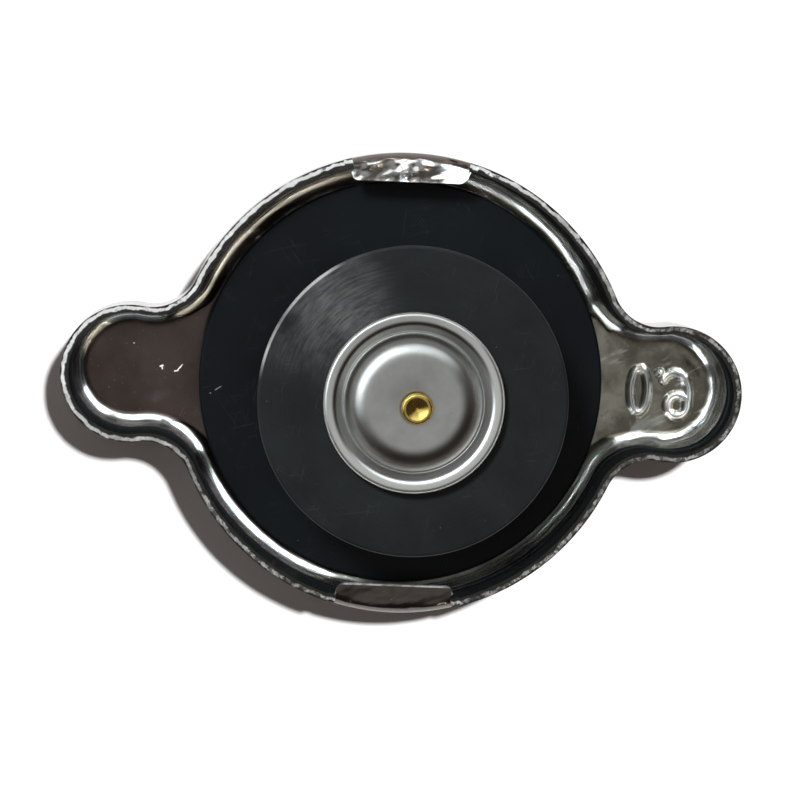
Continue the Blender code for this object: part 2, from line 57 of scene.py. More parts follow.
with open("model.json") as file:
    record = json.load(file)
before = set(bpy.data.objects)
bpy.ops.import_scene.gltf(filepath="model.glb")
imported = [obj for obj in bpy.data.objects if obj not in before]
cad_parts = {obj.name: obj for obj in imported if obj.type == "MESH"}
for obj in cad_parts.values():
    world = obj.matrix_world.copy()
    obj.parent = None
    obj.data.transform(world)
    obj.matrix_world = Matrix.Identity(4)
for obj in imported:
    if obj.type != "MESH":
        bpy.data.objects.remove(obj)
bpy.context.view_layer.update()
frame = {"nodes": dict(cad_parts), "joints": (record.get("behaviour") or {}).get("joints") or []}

MM = 0.001
PANEL_TAB = "Radiator Cap"
SHARP_ANGLE = math.radians(35)
WELD = 1e-7

# Columns in a quarter of the shell's outline, their kinds, and rows of its skin
EAR_COLUMNS = 40
BLEND_COLUMNS = 18
BODY_COLUMNS = 44
RELIEF_COLUMNS = 3
TAB_COLUMNS = 26
PLAIN, NOTCH, TAB = 0, 1, 2
FLAT_ROWS = 4
DISH_ROWS = 18
PLATE_SHARES = (0.02, 0.12, 0.32, 0.55, 0.78, 0.93, 0.985)
CORNER_ROWS = 14
WALL_ROWS = 8
FOLD_ROWS = 12
TAB_ROWS = 5

# Small sizes of the pieces. The socket is the hollow in the rivet's clenched end.
RIM_WEAR = 0.035 * MM
NUMBER_STEP = 0.07 * MM
NUMBER_SUNK = 0.02 * MM
PLATE_EDGE = 0.25 * MM
CUP_VALLEY_BEND = 0.12 * MM
CUP_LIP_BEND = 0.8 * MM
CUP_HOLE_PLAY = 0.3 * MM
CONE_FLAT = 0.12 * MM
CONE_FOOT = 0.2 * MM
CONE_LIP_BEND = 0.15 * MM
STEM_FOOT = 1.25 * MM
STEM_FOOT_HEIGHT = 0.35 * MM
MAIN_TURNS = 3.75
LIGHT_TURNS = 4.5
RIVET_SHANK = 2.2 * MM
RIVET_CLENCH = 3.3 * MM
RIVET_ROLL = 0.3 * MM
RIVET_HEAD = 0.8 * MM
RIVET_DOME = 0.48 * MM
SOCKET_DEPTH = 0.9 * MM
SOCKET_BOTTOM = 1.3 * MM
SOCKET_MOUTH = 1.6 * MM
CLAMP_SHEET = 0.6 * MM
CLAMP_CORNER = 0.36 * MM

# Marks by their middle and half axes in millimetres, and their turn in degrees
EAR_MARKS = (
    ((-25.70, 0.25), (0.34, 0.10), 20),
    ((-25.65, 0.05), (0.30, 0.09), 100),
    ((-23.75, 0.10), (0.55, 0.09), 50),
    ((-24.10, -0.25), (0.34, 0.08), 10),
    ((-28.80, 2.60), (0.10, 0.06), 0),
)
SEAL_MARKS = (((-19.50, -1.45), (0.52, 0.07), 33), ((-20.30, -2.00), (0.12, 0.09), 0))
SCRATCH_SIZE = (4 * MM, 0.07 * MM, 0.07 * MM)
SCRATCH_TURNS = (0.35, 1.1, 2.3)

# Colours of stains, dust, scratches, painted shade, painted highlights and the room's light, as linear red,
# green and blue
BLACK, WHITE = (0.0, 0.0, 0.0), (1.0, 1.0, 1.0)
OLIVE_STAIN = (0.13, 0.12, 0.095)
PALE_STREAK = (0.55, 0.56, 0.53)
SHADED_WALL = (0.022, 0.024, 0.025)
WALL_HIGHLIGHT_LINE = (0.10, 0.105, 0.11)
SHADED_WALL_GLANCE = (0.03, 0.03, 0.03)
TAB_EDGE_HIGHLIGHT = (1.0, 1.0, 0.98)
EDGE_HIGHLIGHT = (1.0, 1.0, 0.99)
SEAL_SCRATCH = (0.20, 0.21, 0.22)
GASKET_SCRATCH = (0.20, 0.21, 0.21)
GASKET_SWIRL_HIGHLIGHT = (0.19, 0.20, 0.20)
GASKET_EDGE_HIGHLIGHT = (0.62, 0.63, 0.63)
STEEL_SPECK = (0.12, 0.12, 0.12)
SHOULDER_SHADE = (0.16, 0.135, 0.12)
RIM_HIGHLIGHT = (0.95, 0.97, 0.96)
COOL, WARM = (0.90, 0.97, 1.0), (1.0, 0.90, 0.74)
DIM_ROOM = (0.085, 0.070, 0.064)

# The room's tone by height, the window's span by height and its brightness by side
ROOM_TONES = (
    (0.0, (0.60, 0.59, 0.58)),
    (0.10, (0.45, 0.42, 0.40)),
    (0.30, (0.10, 0.085, 0.075)),
    (0.62, (0.15, 0.125, 0.105)),
    (0.80, (0.17, 0.15, 0.13)),
    (0.93, (0.60, 0.60, 0.58)),
    (1.0, (1.0, 1.0, 0.98)),
)
WINDOW_SPAN = ((0.40, BLACK), (0.55, WHITE), (0.86, WHITE), (0.93, BLACK))
WINDOW_WIDTH = ((0.06, BLACK), (0.22, (0.35, 0.38, 0.40)), (0.42, (0.93, 0.98, 1.0)))

# Panes: name, side and height in degrees, power, width, height, colour, what they light and what shades them
PANE_DISTANCE = 0.6
PANES = (
    ("pane_upper_right", 48, 26, 10.0, 0.42, 0.46, COOL, "mirrors", "shades"),
    ("pane_top", 98, 30, 5.0, 0.34, 0.40, COOL, "mirrors", "shades with the seal"),
    ("pane_left", 160, 28, 11.0, 0.60, 0.50, COOL, "mirrors", "shades with the seal"),
    ("pane_lower_left", 232, 28, 2.2, 0.30, 0.40, COOL, "mirrors", "shades"),
    ("pane_lower_right", 312, 30, 1.3, 0.40, 0.40, WARM, "mirrors", "shades"),
    ("pane_cup", 140, 46, 2.0, 0.60, 0.30, COOL, "bright pieces", "shades"),
)
PANE_GROUPS = {
    "mirrors": ("shell_pressing", "ear_number"),
    "bright pieces": ("cup_pressing", "stem_turning"),
    "shades": ("floor",),
    "shades with the seal": ("floor", "seal_disc"),
}
FLOOR_HALF = 4.0
FLOOR_GAP = 0.02 * MM
SENSOR = 36.0


def box_of(node):
    """A node's lowest and highest corner as arrays."""
    low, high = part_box(node)
    return np.array(low), np.array(high)


SHELL_HIGH = box_of("shell")[1]
RIVET_LOW, RIVET_HIGH = box_of("centre_rivet")
SEAL_LOW, SEAL_HIGH = box_of("upper_seal")
CLAMP_LOW, CLAMP_HIGH = box_of("seal_clamp")
SPRING_LOW, SPRING_HIGH = box_of("pressure_spring")
PLATE_LOW, PLATE_HIGH = box_of("valve_plate")
GASKET_LOW, GASKET_HIGH = box_of("pressure_gasket")
LIGHT_SPRING_LOW, LIGHT_SPRING_HIGH = box_of("vacuum_spring")
CUP_LOW, CUP_HIGH = box_of("vacuum_cup")
STEM_LOW, STEM_HIGH = box_of("vacuum_stem")

RIVET_AXIS = (0.0, 0.0)
VALVE_AXIS = tuple((GASKET_LOW[:2] + GASKET_HIGH[:2]) / 2)


def length(name, millimetres, description):
    """A property for a length, with its default in millimetres."""
    return FloatProperty(
        name=name, description=description, default=millimetres * MM, min=0.0, unit="LENGTH"
    )


def angle(name, degrees, description):
    """A property for an angle, with its default in degrees."""
    return FloatProperty(
        name=name, description=description, default=math.radians(degrees), subtype="ANGLE"
    )


def amount(name, default, description):
    """A property for a strength or brightness."""
    return FloatProperty(name=name, description=description, default=default, min=0.0)


def colour(name, default, description):
    """A property for a colour."""
    return FloatVectorProperty(
        name=name, description=description, default=default, size=3, min=0.0, max=1.0, subtype="COLOR"
    )


class RadcapShellSizes(bpy.types.PropertyGroup):
    """Sizes of the pressed shell that its box doesn't give."""

    sheet: length("Sheet", 0.85, "Thickness of the shell's sheet metal")
    inner_corner: length("Inner corner", 2.0, "Radius inside the corner between plate and skirt")
    ear: length("Ear radius", 7.28, "Outer radius of a finger ear's round end")
    ear_blend: length("Ear blend", 5.0, "Radius of the hollow between ear and skirt")
    hole: length("Rivet hole", 2.5, "Radius of the hole for the rivet")
    dimple_depth: length("Dimple depth", 4.6, "Depth of the recess round the rivet's head")
    dimple_flat: length("Dimple flat", 7.4, "Radius of the recess's flat bottom")
    dimple_slope: length("Dimple slope", 4.6, "Width of the recess's sloping wall")
    tab_width: length("Tab width", 12.6, "Width of a folded locking tab")
    tab_reach: length("Tab reach", 3.1, "How far in a locking tab reaches")
    tab_corner: length("Tab corner", 1.3, "Radius of a locking tab's corners")
    fold: length("Fold radius", 1.2, "Outer radius of a tab's fold")
    relief: length("Relief", 0.9, "Width of the notch beside a tab")


class RadcapNumberSizes(bpy.types.PropertyGroup):
    """Sizes of the pressed number on the right ear."""

    reach: length("Reach", 0.74, "How far a pressed ridge spreads from its middle line")
    height: length("Height", 0.36, "Height of a pressed ridge")


class RadcapValveSizes(bpy.types.PropertyGroup):
    """Sizes of the turned pieces that their boxes don't give."""

    gasket_edge: length("Gasket edge", 0.35, "Rounding of the gasket's edge")
    seal_edge: length("Seal edge", 0.35, "Rounding of the seal's edge")
    bore: length("Bore", 3.5, "Radius of the hole through gasket and plate")
    cup_sheet: length("Cup sheet", 0.4, "Thickness of the vacuum cup")
    cup_flat: length("Cup flat", 4.6, "Radius of the flat top of the cup's raised middle")
    cup_foot: length("Cup foot", 7.3, "Radius where the raised middle's round shoulder meets the rim's slope")
    cup_rise: length("Cup rim rise", 1.15, "Height of the cup's rim over its valley")
    cup_roll: length("Cup roll", 0.5, "Radius of the cup's rolled rim")
    head_height: length("Head height", 0.75, "Height of the brass head")
    head_edge: length("Head edge", 0.34, "Rounding of the brass head")
    head_cone: length("Head cone", 1.18, "Radius of the cone pressed in the brass head")
    head_aside: FloatVectorProperty(
        name="Head aside",
        description="How far the brass head sits off its stem's middle",
        default=(0.25 * MM, -0.48 * MM),
        size=2,
        unit="LENGTH",
    )
    cone_depth: length("Cone depth", 0.64, "Depth of that cone")
    stem: length("Stem radius", 0.75, "Radius of the brass stem")
    wire: length("Spring wire", 1.2, "Diameter of the main spring's wire")
    light_wire: length("Light wire", 0.24, "Diameter of the light spring's wire")


class RadcapColours(bpy.types.PropertyGroup):
    """Colours of the finishes."""

    chrome: colour("Chrome", (0.62, 0.62, 0.61), "Chrome plate")
    # Painted reflection: the dark brown of the outer chrome.
    chrome_outside: colour("Outer chrome", (0.125, 0.106, 0.096), "Chrome plate outside, brown with painted_reflection")
    # Painted reflections: the olive tone of the right ear's plate and the dark brown tone of the left ear's
    # plate.
    chrome_olive_reflection: colour("Olive chrome", (0.36, 0.345, 0.29), "Chrome plate in the right ear")
    chrome_dark_reflection: colour("Dark chrome", (0.080, 0.062, 0.056), "Dull brown chrome in the left ear")
    # The sheared edge's painted lit side and painted shaded side.
    edge: colour("Sheared edge", (0.88, 0.88, 0.87), "Bright sheared edge of the sheet")
    edge_shaded: colour("Dull sheared edge", (0.26, 0.245, 0.22), "Beige grey sheared edge of the sheet")
    dust: colour("Dust", (0.72, 0.69, 0.66), "Dust and specks on the chrome")
    seal: colour("Seal rubber", (0.0030, 0.0040, 0.0050), "Smooth black rubber")
    gasket: colour("Gasket rubber", (0.0085, 0.0100, 0.0105), "Dark grey moulded rubber")
    stainless: colour("Stainless", (0.60, 0.61, 0.595), "Pressed stainless steel")
    brass: colour("Brass", (0.80, 0.57, 0.16), "Turned brass")
    zinc: colour("Zinc", (0.50, 0.51, 0.52), "Zinc plated steel")
    spring: colour("Spring steel", (0.30, 0.30, 0.31), "Drawn spring wire")
    floor: colour("Floor", (0.90, 0.90, 0.90), "Pale floor")


class RadcapStage(bpy.types.PropertyGroup):
    """Camera and light."""

    tilt: angle("Tilt", 4.8, "Camera's angle off the rivet's axis")
    heading: angle("Heading", 125, "Side the camera leans to")
    roll: angle("Roll", 2.4, "Camera's turn about its own axis")
    distance: length("Distance", 400, "Camera's distance")
    width: length("Width", 84.8, "Width that the picture takes in at the cap's rim")
    aside: length("Aside", 0.26, "How far right of the picture's middle the rim's middle lies")
    above: length("Above", 1.68, "How far above the picture's middle the rim's middle lies")
    key: amount("Key", 3.9, "Strength of the light that casts the shadow")
    key_height: angle("Key height", 73, "That light's height")
    key_side: angle("Key side", 55, "Side that light stands on")
    key_softness: angle("Key softness", 3, "How wide that light looks")
    cap_key: amount("Cap key", 3.6, "Strength of the light on the cap")
    cap_key_height: angle("Cap key height", 58, "That light's height")
    cap_key_side: angle("Cap key side", 128, "Side that light stands on")
    cap_key_softness: angle("Cap key softness", 12, "How wide that light looks")
    window: amount("Window", 1.6, "Brightness of the wide window")
    window_side: angle("Window side", 118, "Side the wide window is on")
    ceiling: amount("Ceiling", 0.48, "Brightness of the ceiling")
    panes: amount("Panes", 0.4, "Strength of the panes mirrored in the shell")


def settings(group):
    """The scene's property group of this name."""
    return getattr(bpy.context.scene, group)


def arc(centre, radius, start, end, steps):
    """Even points on an arc, with angles in degrees: x = cx + r cos a, z = cz + r sin a."""
    a = np.radians(np.linspace(start, end, steps + 1))
    return np.column_stack((centre[0] + radius * np.cos(a), centre[1] + radius * np.sin(a)))


def unit(vector):
    """The same direction at length one."""
    return vector / np.linalg.norm(vector)


def rounded(corners, radii, steps=8):
    """The line through the corners, with each inner corner taken off by an arc that touches both sides."""
    corners = np.array(corners, float)
    parts = [corners[:1]]
    for before, corner, after, radius in zip(corners, corners[1:], corners[2:], radii):
        back = unit(before - corner)
        ahead = unit(after - corner)
        half = math.acos(np.clip(back @ ahead, -1, 1)) / 2
        centre = corner + unit(back + ahead) * radius / math.sin(half)
        first = corner + back * radius / math.tan(half) - centre
        last = corner + ahead * radius / math.tan(half) - centre
        turn = math.atan2(first[0] * last[1] - first[1] * last[0], first @ last)
        a = np.linspace(0, turn, steps + 1)[:, None]
        across = np.array((-first[1], first[0]))
        parts.append(centre + first * np.cos(a) + across * np.sin(a))
    parts.append(corners[-1:])
    return np.concatenate(parts)


def sheet_loop(line, thickness):
    """A closed profile of sheet metal.

    The line is one skin. The other is the line set off to its right by the thickness along the normal of
    its slope, and a half round joins the two at each end.
    """
    slope = np.gradient(line, axis=0)
    slope /= np.linalg.norm(slope, axis=1)[:, None]
    normal = np.column_stack((slope[:, 1], -slope[:, 0]))
    back = line + normal * thickness
    a = np.linspace(0, np.pi, 7)[1:-1, None]
    half = thickness / 2
    far = (line[-1] + back[-1]) / 2 + (slope[-1] * np.sin(a) - normal[-1] * np.cos(a)) * half
    near = (line[0] + back[0]) / 2 + (-slope[0] * np.sin(a) + normal[0] * np.cos(a)) * half
    return np.concatenate((line, far, back[::-1], near))


def ring_loop(inner, outer, low, high, edge, steps=8):
    """A flat ring's closed profile, with its two outer edges rounded."""
    return np.concatenate(
        (
            [(inner, high)],
            arc((outer - edge, high - edge), edge, 90, 0, steps),
            arc((outer - edge, low + edge), edge, 0, -90, steps),
            [(inner, low)],
        )
    )


def turned_points(profile, steps, axis=RIVET_AXIS):
    """Each profile point (r, z) goes round an upright axis: x = ax + r cos t, y = ay + r sin t."""
    t = np.linspace(0, 2 * np.pi, steps, endpoint=False)
    r, z = np.asarray(profile).T
    x = axis[0] + r[:, None] * np.cos(t)
    y = axis[1] + r[:, None] * np.sin(t)
    return np.stack((x, y, np.broadcast_to(z[:, None], x.shape)), axis=-1)


def grid_faces(rows, columns, close_rows=False, close_columns=False):
    """Four-sided faces between neighbouring points of a grid, numbered row by row."""
    i = np.arange(rows if close_rows else rows - 1)[:, None]
    j = np.arange(columns if close_columns else columns - 1)[None, :]
    below = (i + 1) % rows
    right = (j + 1) % columns
    corners = (i * columns + j, i * columns + right, below * columns + right, below * columns + j)
    return np.stack(corners, axis=-1).reshape(-1, 4)


def joined(grids):
    """Several (points, faces) in one, with the faces renumbered."""
    points, faces, start = [], [], 0
    for some_points, some_faces in grids:
        flat = some_points.reshape(-1, 3)
        points.append(flat)
        faces.append(some_faces + start)
        start += len(flat)
    return np.concatenate(points), np.concatenate(faces)


def in_scene(name, data):
    """A new object with this data in the scene."""
    found = bpy.data.objects.new(name, data)
    bpy.context.scene.collection.objects.link(found)
    return found


def add_piece(name, points, faces, finishes, body, closed=True):
    """A mesh object from points and faces. Equal points are merged, and a closed one's faces turned out."""
    mesh = bpy.data.meshes.new(name)
    mesh.from_pydata(points.reshape(-1, 3).tolist(), [], faces.tolist())
    shape = bmesh.new()
    shape.from_mesh(mesh)
    bmesh.ops.remove_doubles(shape, verts=shape.verts, dist=WELD)
    if closed:
        bmesh.ops.recalc_face_normals(shape, faces=shape.faces)
    shape.to_mesh(mesh)
    shape.free()
    mesh.shade_smooth()
    mesh.set_sharp_from_angle(angle=SHARP_ANGLE)
    piece = in_scene(name, mesh)
    for finish in finishes:
        mesh.materials.append(finish)
    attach(piece, body)
    return piece


def add_rows(name, points, finish, body, closed=False):
    """A piece from rows of points that each close round, and whose last row meets the first where closed."""
    faces = grid_faces(*points.shape[:2], close_rows=closed, close_columns=True)
    return add_piece(name, points, faces, [finish], body)


def add_turned(name, profile, steps, finish, body, axis=RIVET_AXIS, closed=True):
    """A turned piece from its profile, which is a closed loop or runs from the axis to the axis."""
    return add_rows(name, turned_points(profile, steps, axis), finish, body, closed)


class Wire:
    """A node's output.

    Sums, differences and products with wires or numbers add Math nodes, and so does |, the larger of two.
    """

    def __init__(self, graph, socket):
        self.graph = graph
        self.socket = socket

    def __add__(self, other):
        return self.graph.math("ADD", self, other)

    def __sub__(self, other):
        return self.graph.math("SUBTRACT", self, other)

    def __rsub__(self, other):
        return self.graph.math("SUBTRACT", other, self)

    def __mul__(self, other):
        return self.graph.math("MULTIPLY", self, other)

    def __or__(self, other):
        return self.graph.math("MAXIMUM", self, other)

    def __abs__(self):
        return self.graph.math("ABSOLUTE", self)

    def range(self, low, high, first, last, kind="LINEAR"):
        """The value carried from the range low to high over to first to last, and held at its ends."""
        ends = {"Value": self, "From Min": low, "From Max": high, "To Min": first, "To Max": last}
        return self.graph.add("ShaderNodeMapRange", "Result", ends, interpolation_type=kind)

    def step(self, low, high):
        """A soft step from 0 at low to 1 at high, or the other way round where low is over high."""
        ends = (low, high, 0.0, 1.0) if low < high else (high, low, 1.0, 0.0)
        return self.range(*ends, "SMOOTHSTEP")


class Graph:
    """The node tree of a material or a world, with short ways to add and join nodes."""

    def __init__(self, owner):
        owner.use_nodes = True
        self.owner = owner
        self.nodes = owner.node_tree.nodes
        self.links = owner.node_tree.links

    def put(self, socket, value):
        """Joins a wire to a socket, or sets a number, vector or colour there."""
        if isinstance(value, Wire):
            self.links.new(value.socket, socket)
        else:
            socket.default_value = (*value, 1.0) if socket.type == "RGBA" else value

    def add(self, kind, output, inputs, **settings):
        """The named output of a new node with these settings and these inputs, by name or number."""
        node = self.nodes.new(kind)
        for key, value in settings.items():
            setattr(node, key, value)
        for key, value in inputs.items():
            self.put(node.inputs[key], value)
        return Wire(self, node.outputs[output])

    def math(self, operation, *values):
        """The result of a Math node."""
        return self.add("ShaderNodeMath", "Value", dict(enumerate(values)), operation=operation)

    def vector(self, operation, output, *values):
        """The named output of a Vector Math node."""
        return self.add("ShaderNodeVectorMath", output, dict(enumerate(values)), operation=operation)

    def split(self, vector):
        """The X, Y and Z of a vector."""
        node = self.nodes.new("ShaderNodeSeparateXYZ")
        self.put(node.inputs["Vector"], vector)
        return [Wire(self, socket) for socket in node.outputs]


class Finish(Graph):
    """A material's node tree."""

    def __init__(self, name):
        super().__init__(bpy.data.materials.new(name))
        self.place = self.add("ShaderNodeTexCoord", "Object", {})

    def done(self, **inputs):
        """Puts values or wires on the shader's own inputs and gives back the material."""
        for key, value in inputs.items():
            self.put(self.nodes["Principled BSDF"].inputs[key.replace("_", " ")], value)
        return self.owner

    def stretched(self, size, turn=0.0, shift=(0, 0, 0)):
        """Object coordinates from a shifted middle, turned about Z and counted in cells of this size."""
        inputs = {"Vector": self.place, "Scale": size, "Rotation": (0, 0, turn), "Location": shift}
        return self.add("ShaderNodeMapping", "Vector", inputs, vector_type="TEXTURE")

    def noise(self, scale, detail=4.0, roughness=0.55, vector=None):
        """Soft noise about 0.5, with this many features in a metre or in a cell of the given vector."""
        inputs = {"Vector": vector or self.place, "Scale": scale, "Detail": detail, "Roughness": roughness}
        return self.add("ShaderNodeTexNoise", "Fac", inputs)

    def specks(self, scale, size):
        """Round specks, one in each cell of a random pattern: 1 within half the size, 0 past it."""
        distance = self.add("ShaderNodeTexVoronoi", "Distance", {"Vector": self.place, "Scale": scale})
        return distance.step(size, size * 0.5)

    def mix(self, share, first, last):
        """A colour between two colours."""
        return self.add("ShaderNodeMix", 2, {0: share, 6: first, 7: last}, data_type="RGBA")

    def flat(self, x, y=0.0):
        """A vector without height."""
        return self.add("ShaderNodeCombineXYZ", "Vector", {"X": x, "Y": y})

    def radius(self, centre):
        """Distance from an upright axis through this centre."""
        x, y, _ = self.split(self.stretched((1, 1, 1), shift=(*centre, 0)))
        return self.vector("LENGTH", "Value", self.flat(x, y))

    def around(self, centre):
        """Angle about an upright axis through this centre, in radians from +X."""
        x, y, _ = self.split(self.stretched((1, 1, 1), shift=(*centre, 0)))
        return self.math("ARCTAN2", y, x)

    def bump(self, height, strength, distance):
        """The surface's direction, tilted by the slope of a height."""
        inputs = {"Height": height, "Strength": strength, "Distance": distance}
        return self.add("ShaderNodeBump", "Normal", inputs)

    def scratches(self, seed):
        """Thin scratches in three directions: noise stretched along each, kept at its peaks in patches."""
        found = None
        for turn in SCRATCH_TURNS:
            place = self.stretched(SCRATCH_SIZE, turn + seed, (seed * MM, turn * MM, 0))
            line = self.noise(1.0, 1.0, 0.5, place).step(0.70, 0.75)
            found = found | line if found else line
        return found * self.noise(260.0, 2.0, 0.5).step(0.48, 0.62)

    def marks(self, marks):
        """Small marks with ragged sides: 1 within an ellipse of these half axes, turned about its middle."""
        found = None
        for centre, half, turn in marks:
            size, shift = np.array(half) * MM, np.array(centre) * MM
            place = self.stretched((*size, 1.0), math.radians(turn), (*shift, 0))
            mark = (self.vector("LENGTH", "Value", place) + self.noise(5000.0, 2.0) * 1.1).step(1.45, 1.15)
            found = found | mark if found else mark
        return found


def toned(colour, share):
    """A colour made darker or paler by a share."""
    return tuple(share * tone for tone in colour)


def chrome_inside():
    """Chrome inside the shell, with painted reflections on its plate: dull brown in the left ear, olive grey
    with pale streaks in the right one.

    It is softly wavy. Past the rounded corner, and higher up in the right ear, the wall is painted dark as
    shade: a dark dull metal with one faint painted highlight line.
    """
    tint = settings("radcap_colours")
    graph = Finish("chrome inside")
    x, _, z = graph.split(graph.place)
    wave = graph.noise(120.0, 3.0)
    side = x.range(-0.030, 0.026, 0.0, 1.0) + wave.range(0.3, 0.7, -0.12, 0.12)
    plate = z.step(1.2 * MM, 0.95 * MM)
    # Painted reflections: the plate is dark brown in the left ear and olive grey in the right one.
    base = graph.mix(side.step(0.25, 0.95), tint.chrome_dark_reflection, tint.chrome_olive_reflection)
    stain = graph.noise(150.0, 4.0, 0.6).step(0.62, 0.40) * plate * side.range(0.5, 0.9, 0.0, 0.9)
    base = graph.mix(stain, base, OLIVE_STAIN)
    streak = graph.noise(1.0, 3.0, 0.6, graph.stretched((6 * MM, 1.3 * MM, 1.3 * MM), 0.5))
    base = graph.mix(streak.step(0.56, 0.68) * side.range(0.6, 0.9, 0.0, 0.7), base, PALE_STREAK)
    haze = graph.noise(95.0, 5.0, 0.6).step(0.44, 0.66) * side.step(0.8, 0.3)
    base = graph.mix(haze * 0.5, base, toned(tint.chrome_dark_reflection, 1.9))
    base = graph.mix(plate, tint.chrome, base)
    base = graph.mix(graph.specks(1500.0, 0.07) * 0.5, base, tint.dust)
    scratch = graph.scratches(0.2)
    base = graph.mix(scratch * 0.07, base, tint.chrome)
    marks = graph.marks(EAR_MARKS)
    base = graph.mix(marks, base, tint.dust)
    up = z - x.step(26 * MM, 33 * MM) * (3.6 * MM)
    # Painted shade: past the corner the inner chrome wall is coloured nearly black, with a dark gloss tint
    # and more roughness.
    wall = up.step(2.45 * MM, 2.95 * MM)
    # A faint painted highlight line along the dark wall.
    line = abs(up + wave.range(0.3, 0.7, -0.5 * MM, 0.5 * MM) - 5.2 * MM).step(0.55 * MM, 0.15 * MM)
    swell = graph.noise(170.0, 2.0, 0.45) * side.range(0.2, 1.0, 0.25, 1.0)
    return graph.done(
        Base_Color=graph.mix(wall, base, graph.mix(line, SHADED_WALL, WALL_HIGHLIGHT_LINE)),
        Metallic=marks.range(0, 1, 1.0, 0.2),
        Specular_Tint=graph.mix(wall, WHITE, SHADED_WALL_GLANCE),
        Roughness=wave.range(0.3, 0.7, 0.10, 0.20) + wall.range(0, 1, 0, 0.38),
        Normal=graph.bump(swell + scratch * -0.03, 1.0, 0.7 * MM),
    )


def chrome_outside():
    """Chrome outside the shell: painted dark brown as a reflection, with dust, and with a painted pale
    highlight along the tabs' edges.

    The upper tab is painted bright as lit and is crumpled, and its right end is smoother and leans to the
    window.
    """
    tint = settings("radcap_colours")
    size = settings("radcap_shell")
    top = SHELL_HIGH[2]
    graph = Finish("chrome outside")
    x, y, z = graph.split(graph.place)
    wave = graph.noise(90.0, 4.0)
    dust = graph.specks(2600.0, 0.10) * graph.noise(240.0, 3.0).step(0.42, 0.62)
    # Painted light: the top of the upper tab is coloured bright chrome as lit, and the rest dark brown as a
    # painted reflection.
    shine = y.step(5 * MM, 20 * MM)
    flat = z.step(top - 0.12 * MM, top - 0.03 * MM)
    base = graph.mix(shine * flat, tint.chrome_outside, tint.chrome)
    base = graph.mix(wave.range(0.3, 0.7, 0.5, 0.0), base, toned(tint.chrome_outside, 0.8))
    inner_edge = SHELL_HIGH[1] - size.tab_reach
    side_edge = size.tab_width / 2
    # Painted highlight along the tabs' inner and side edges.
    line = abs(y).step(inner_edge + 0.20 * MM, inner_edge + 0.12 * MM)
    line = line | abs(x).step(side_edge - 0.18 * MM, side_edge - 0.10 * MM)
    line = line * graph.noise(900.0, 2.0).range(0.35, 0.6, 0.35, 1.0)
    base = graph.mix(line * flat, base, TAB_EDGE_HIGHLIGHT)
    right_end = x.step(0.5 * MM, 4.5 * MM) * shine
    tilt = (y - 22.4 * MM) * -190.0 * right_end
    crease = graph.noise(370.0, 2.0, 0.45, graph.stretched((1.5, 1, 1), 0.3))
    crease = crease * right_end.range(0, 1, 1.9, 0.35)
    fold = z.step(top - 0.6 * MM, top - 0.2 * MM) * shine.range(0, 1, 0.26, 1.0)
    return graph.done(
        Base_Color=graph.mix(dust * 0.5, base, tint.dust),
        Metallic=1.0,
        Roughness=(right_end * flat).range(0, 1, 0.12, 0.34) | dust * 0.4,
        Normal=graph.bump((crease + tilt) * fold.range(0, 1, 0.06, 1.0), 1.0, 1.4 * MM),
    )


def sheared_edge():
    """The shell's sheared edge, with painted light: bright on the side towards the window, beige grey as
    shade on the other, with nicks.

    Only a ragged band, by the depth inside the outline, is painted bright, with painted highlight glints; the
    rest is dark, partly as a rough fracture zone and partly as painted shade. The tabs' ends are painted
    bright whole.
    """
    tint = settings("radcap_colours")
    graph = Finish("sheared edge")
    x, y, _ = graph.split(graph.place)
    depth = graph.add("ShaderNodeAttribute", "Fac", {}, attribute_name="depth")
    grain = graph.noise(1300.0, 5.0, 0.6)
    nick = graph.noise(700.0, 3.0, 0.6).step(0.60, 0.68)
    patch = graph.noise(330.0, 2.0).step(0.36, 0.58)
    edge_glint = graph.noise(1700.0, 4.0, 0.75).step(0.42, 0.56)
    # Painted light: bright on the side towards the window, beige grey as shade on the other.
    side = (y - x * 0.5).range(-0.010, 0.018, 0.0, 1.0)
    ragged = depth + graph.noise(900.0, 3.0, 0.6).range(0.3, 0.7, -0.14 * MM, 0.14 * MM)
    tab_end = depth.step(1.2 * MM, 1.4 * MM)
    # Only this ragged band is painted bright; outside it the edge is dark, partly as a rough fracture zone
    # and partly as painted shade.
    band = ragged.step(0.10 * MM, 0.18 * MM) * (ragged.step(0.56 * MM, 0.44 * MM) | tab_end)
    base = graph.mix(side.step(0.1, 0.9), tint.edge_shaded, tint.edge)
    # Painted highlight glints.
    base = graph.mix(edge_glint * 0.5 | side, base, EDGE_HIGHLIGHT)
    base = graph.mix(tab_end, base, tint.edge)
    # Painted highlights beside the tabs' notches.
    base = graph.mix(abs(x).step(8.3 * MM, 7.6 * MM) * edge_glint, base, WHITE)
    bright = band * nick.range(0, 1, 1.0, 0.2) * (edge_glint | side.range(0, 1, 0.45, 0.95))
    bright = bright * (side | patch.range(0, 1, 0.25, 0.9))
    return graph.done(
        Base_Color=graph.mix(bright, toned(tint.edge_shaded, 0.14), base),
        Metallic=0.9,
        Roughness=grain.range(0.3, 0.7, 0.26, 0.42),
        Normal=graph.bump(grain + graph.noise(420.0, 2.0), 0.5, 0.16 * MM),
    )


def seal_rubber():
    """Smooth black rubber with a cold sheen, a few fine scratches and specks."""
    tint = settings("radcap_colours")
    graph = Finish("seal rubber")
    mark = graph.scratches(1.1) * 0.08 | graph.specks(420.0, 0.030) * 0.4 | graph.marks(SEAL_MARKS)
    cloud = graph.noise(70.0, 4.0)
    base = graph.mix(cloud.range(0.35, 0.7, 0.0, 1.0), tint.seal, toned(tint.seal, 1.9))
    return graph.done(
        Base_Color=graph.mix(mark, base, SEAL_SCRATCH),
        Specular_IOR_Level=0.19,
        Roughness=cloud.range(0.3, 0.7, 0.40, 0.52),
        Normal=graph.bump(graph.noise(3000.0, 3.0), 0.05, 0.05 * MM),
    )


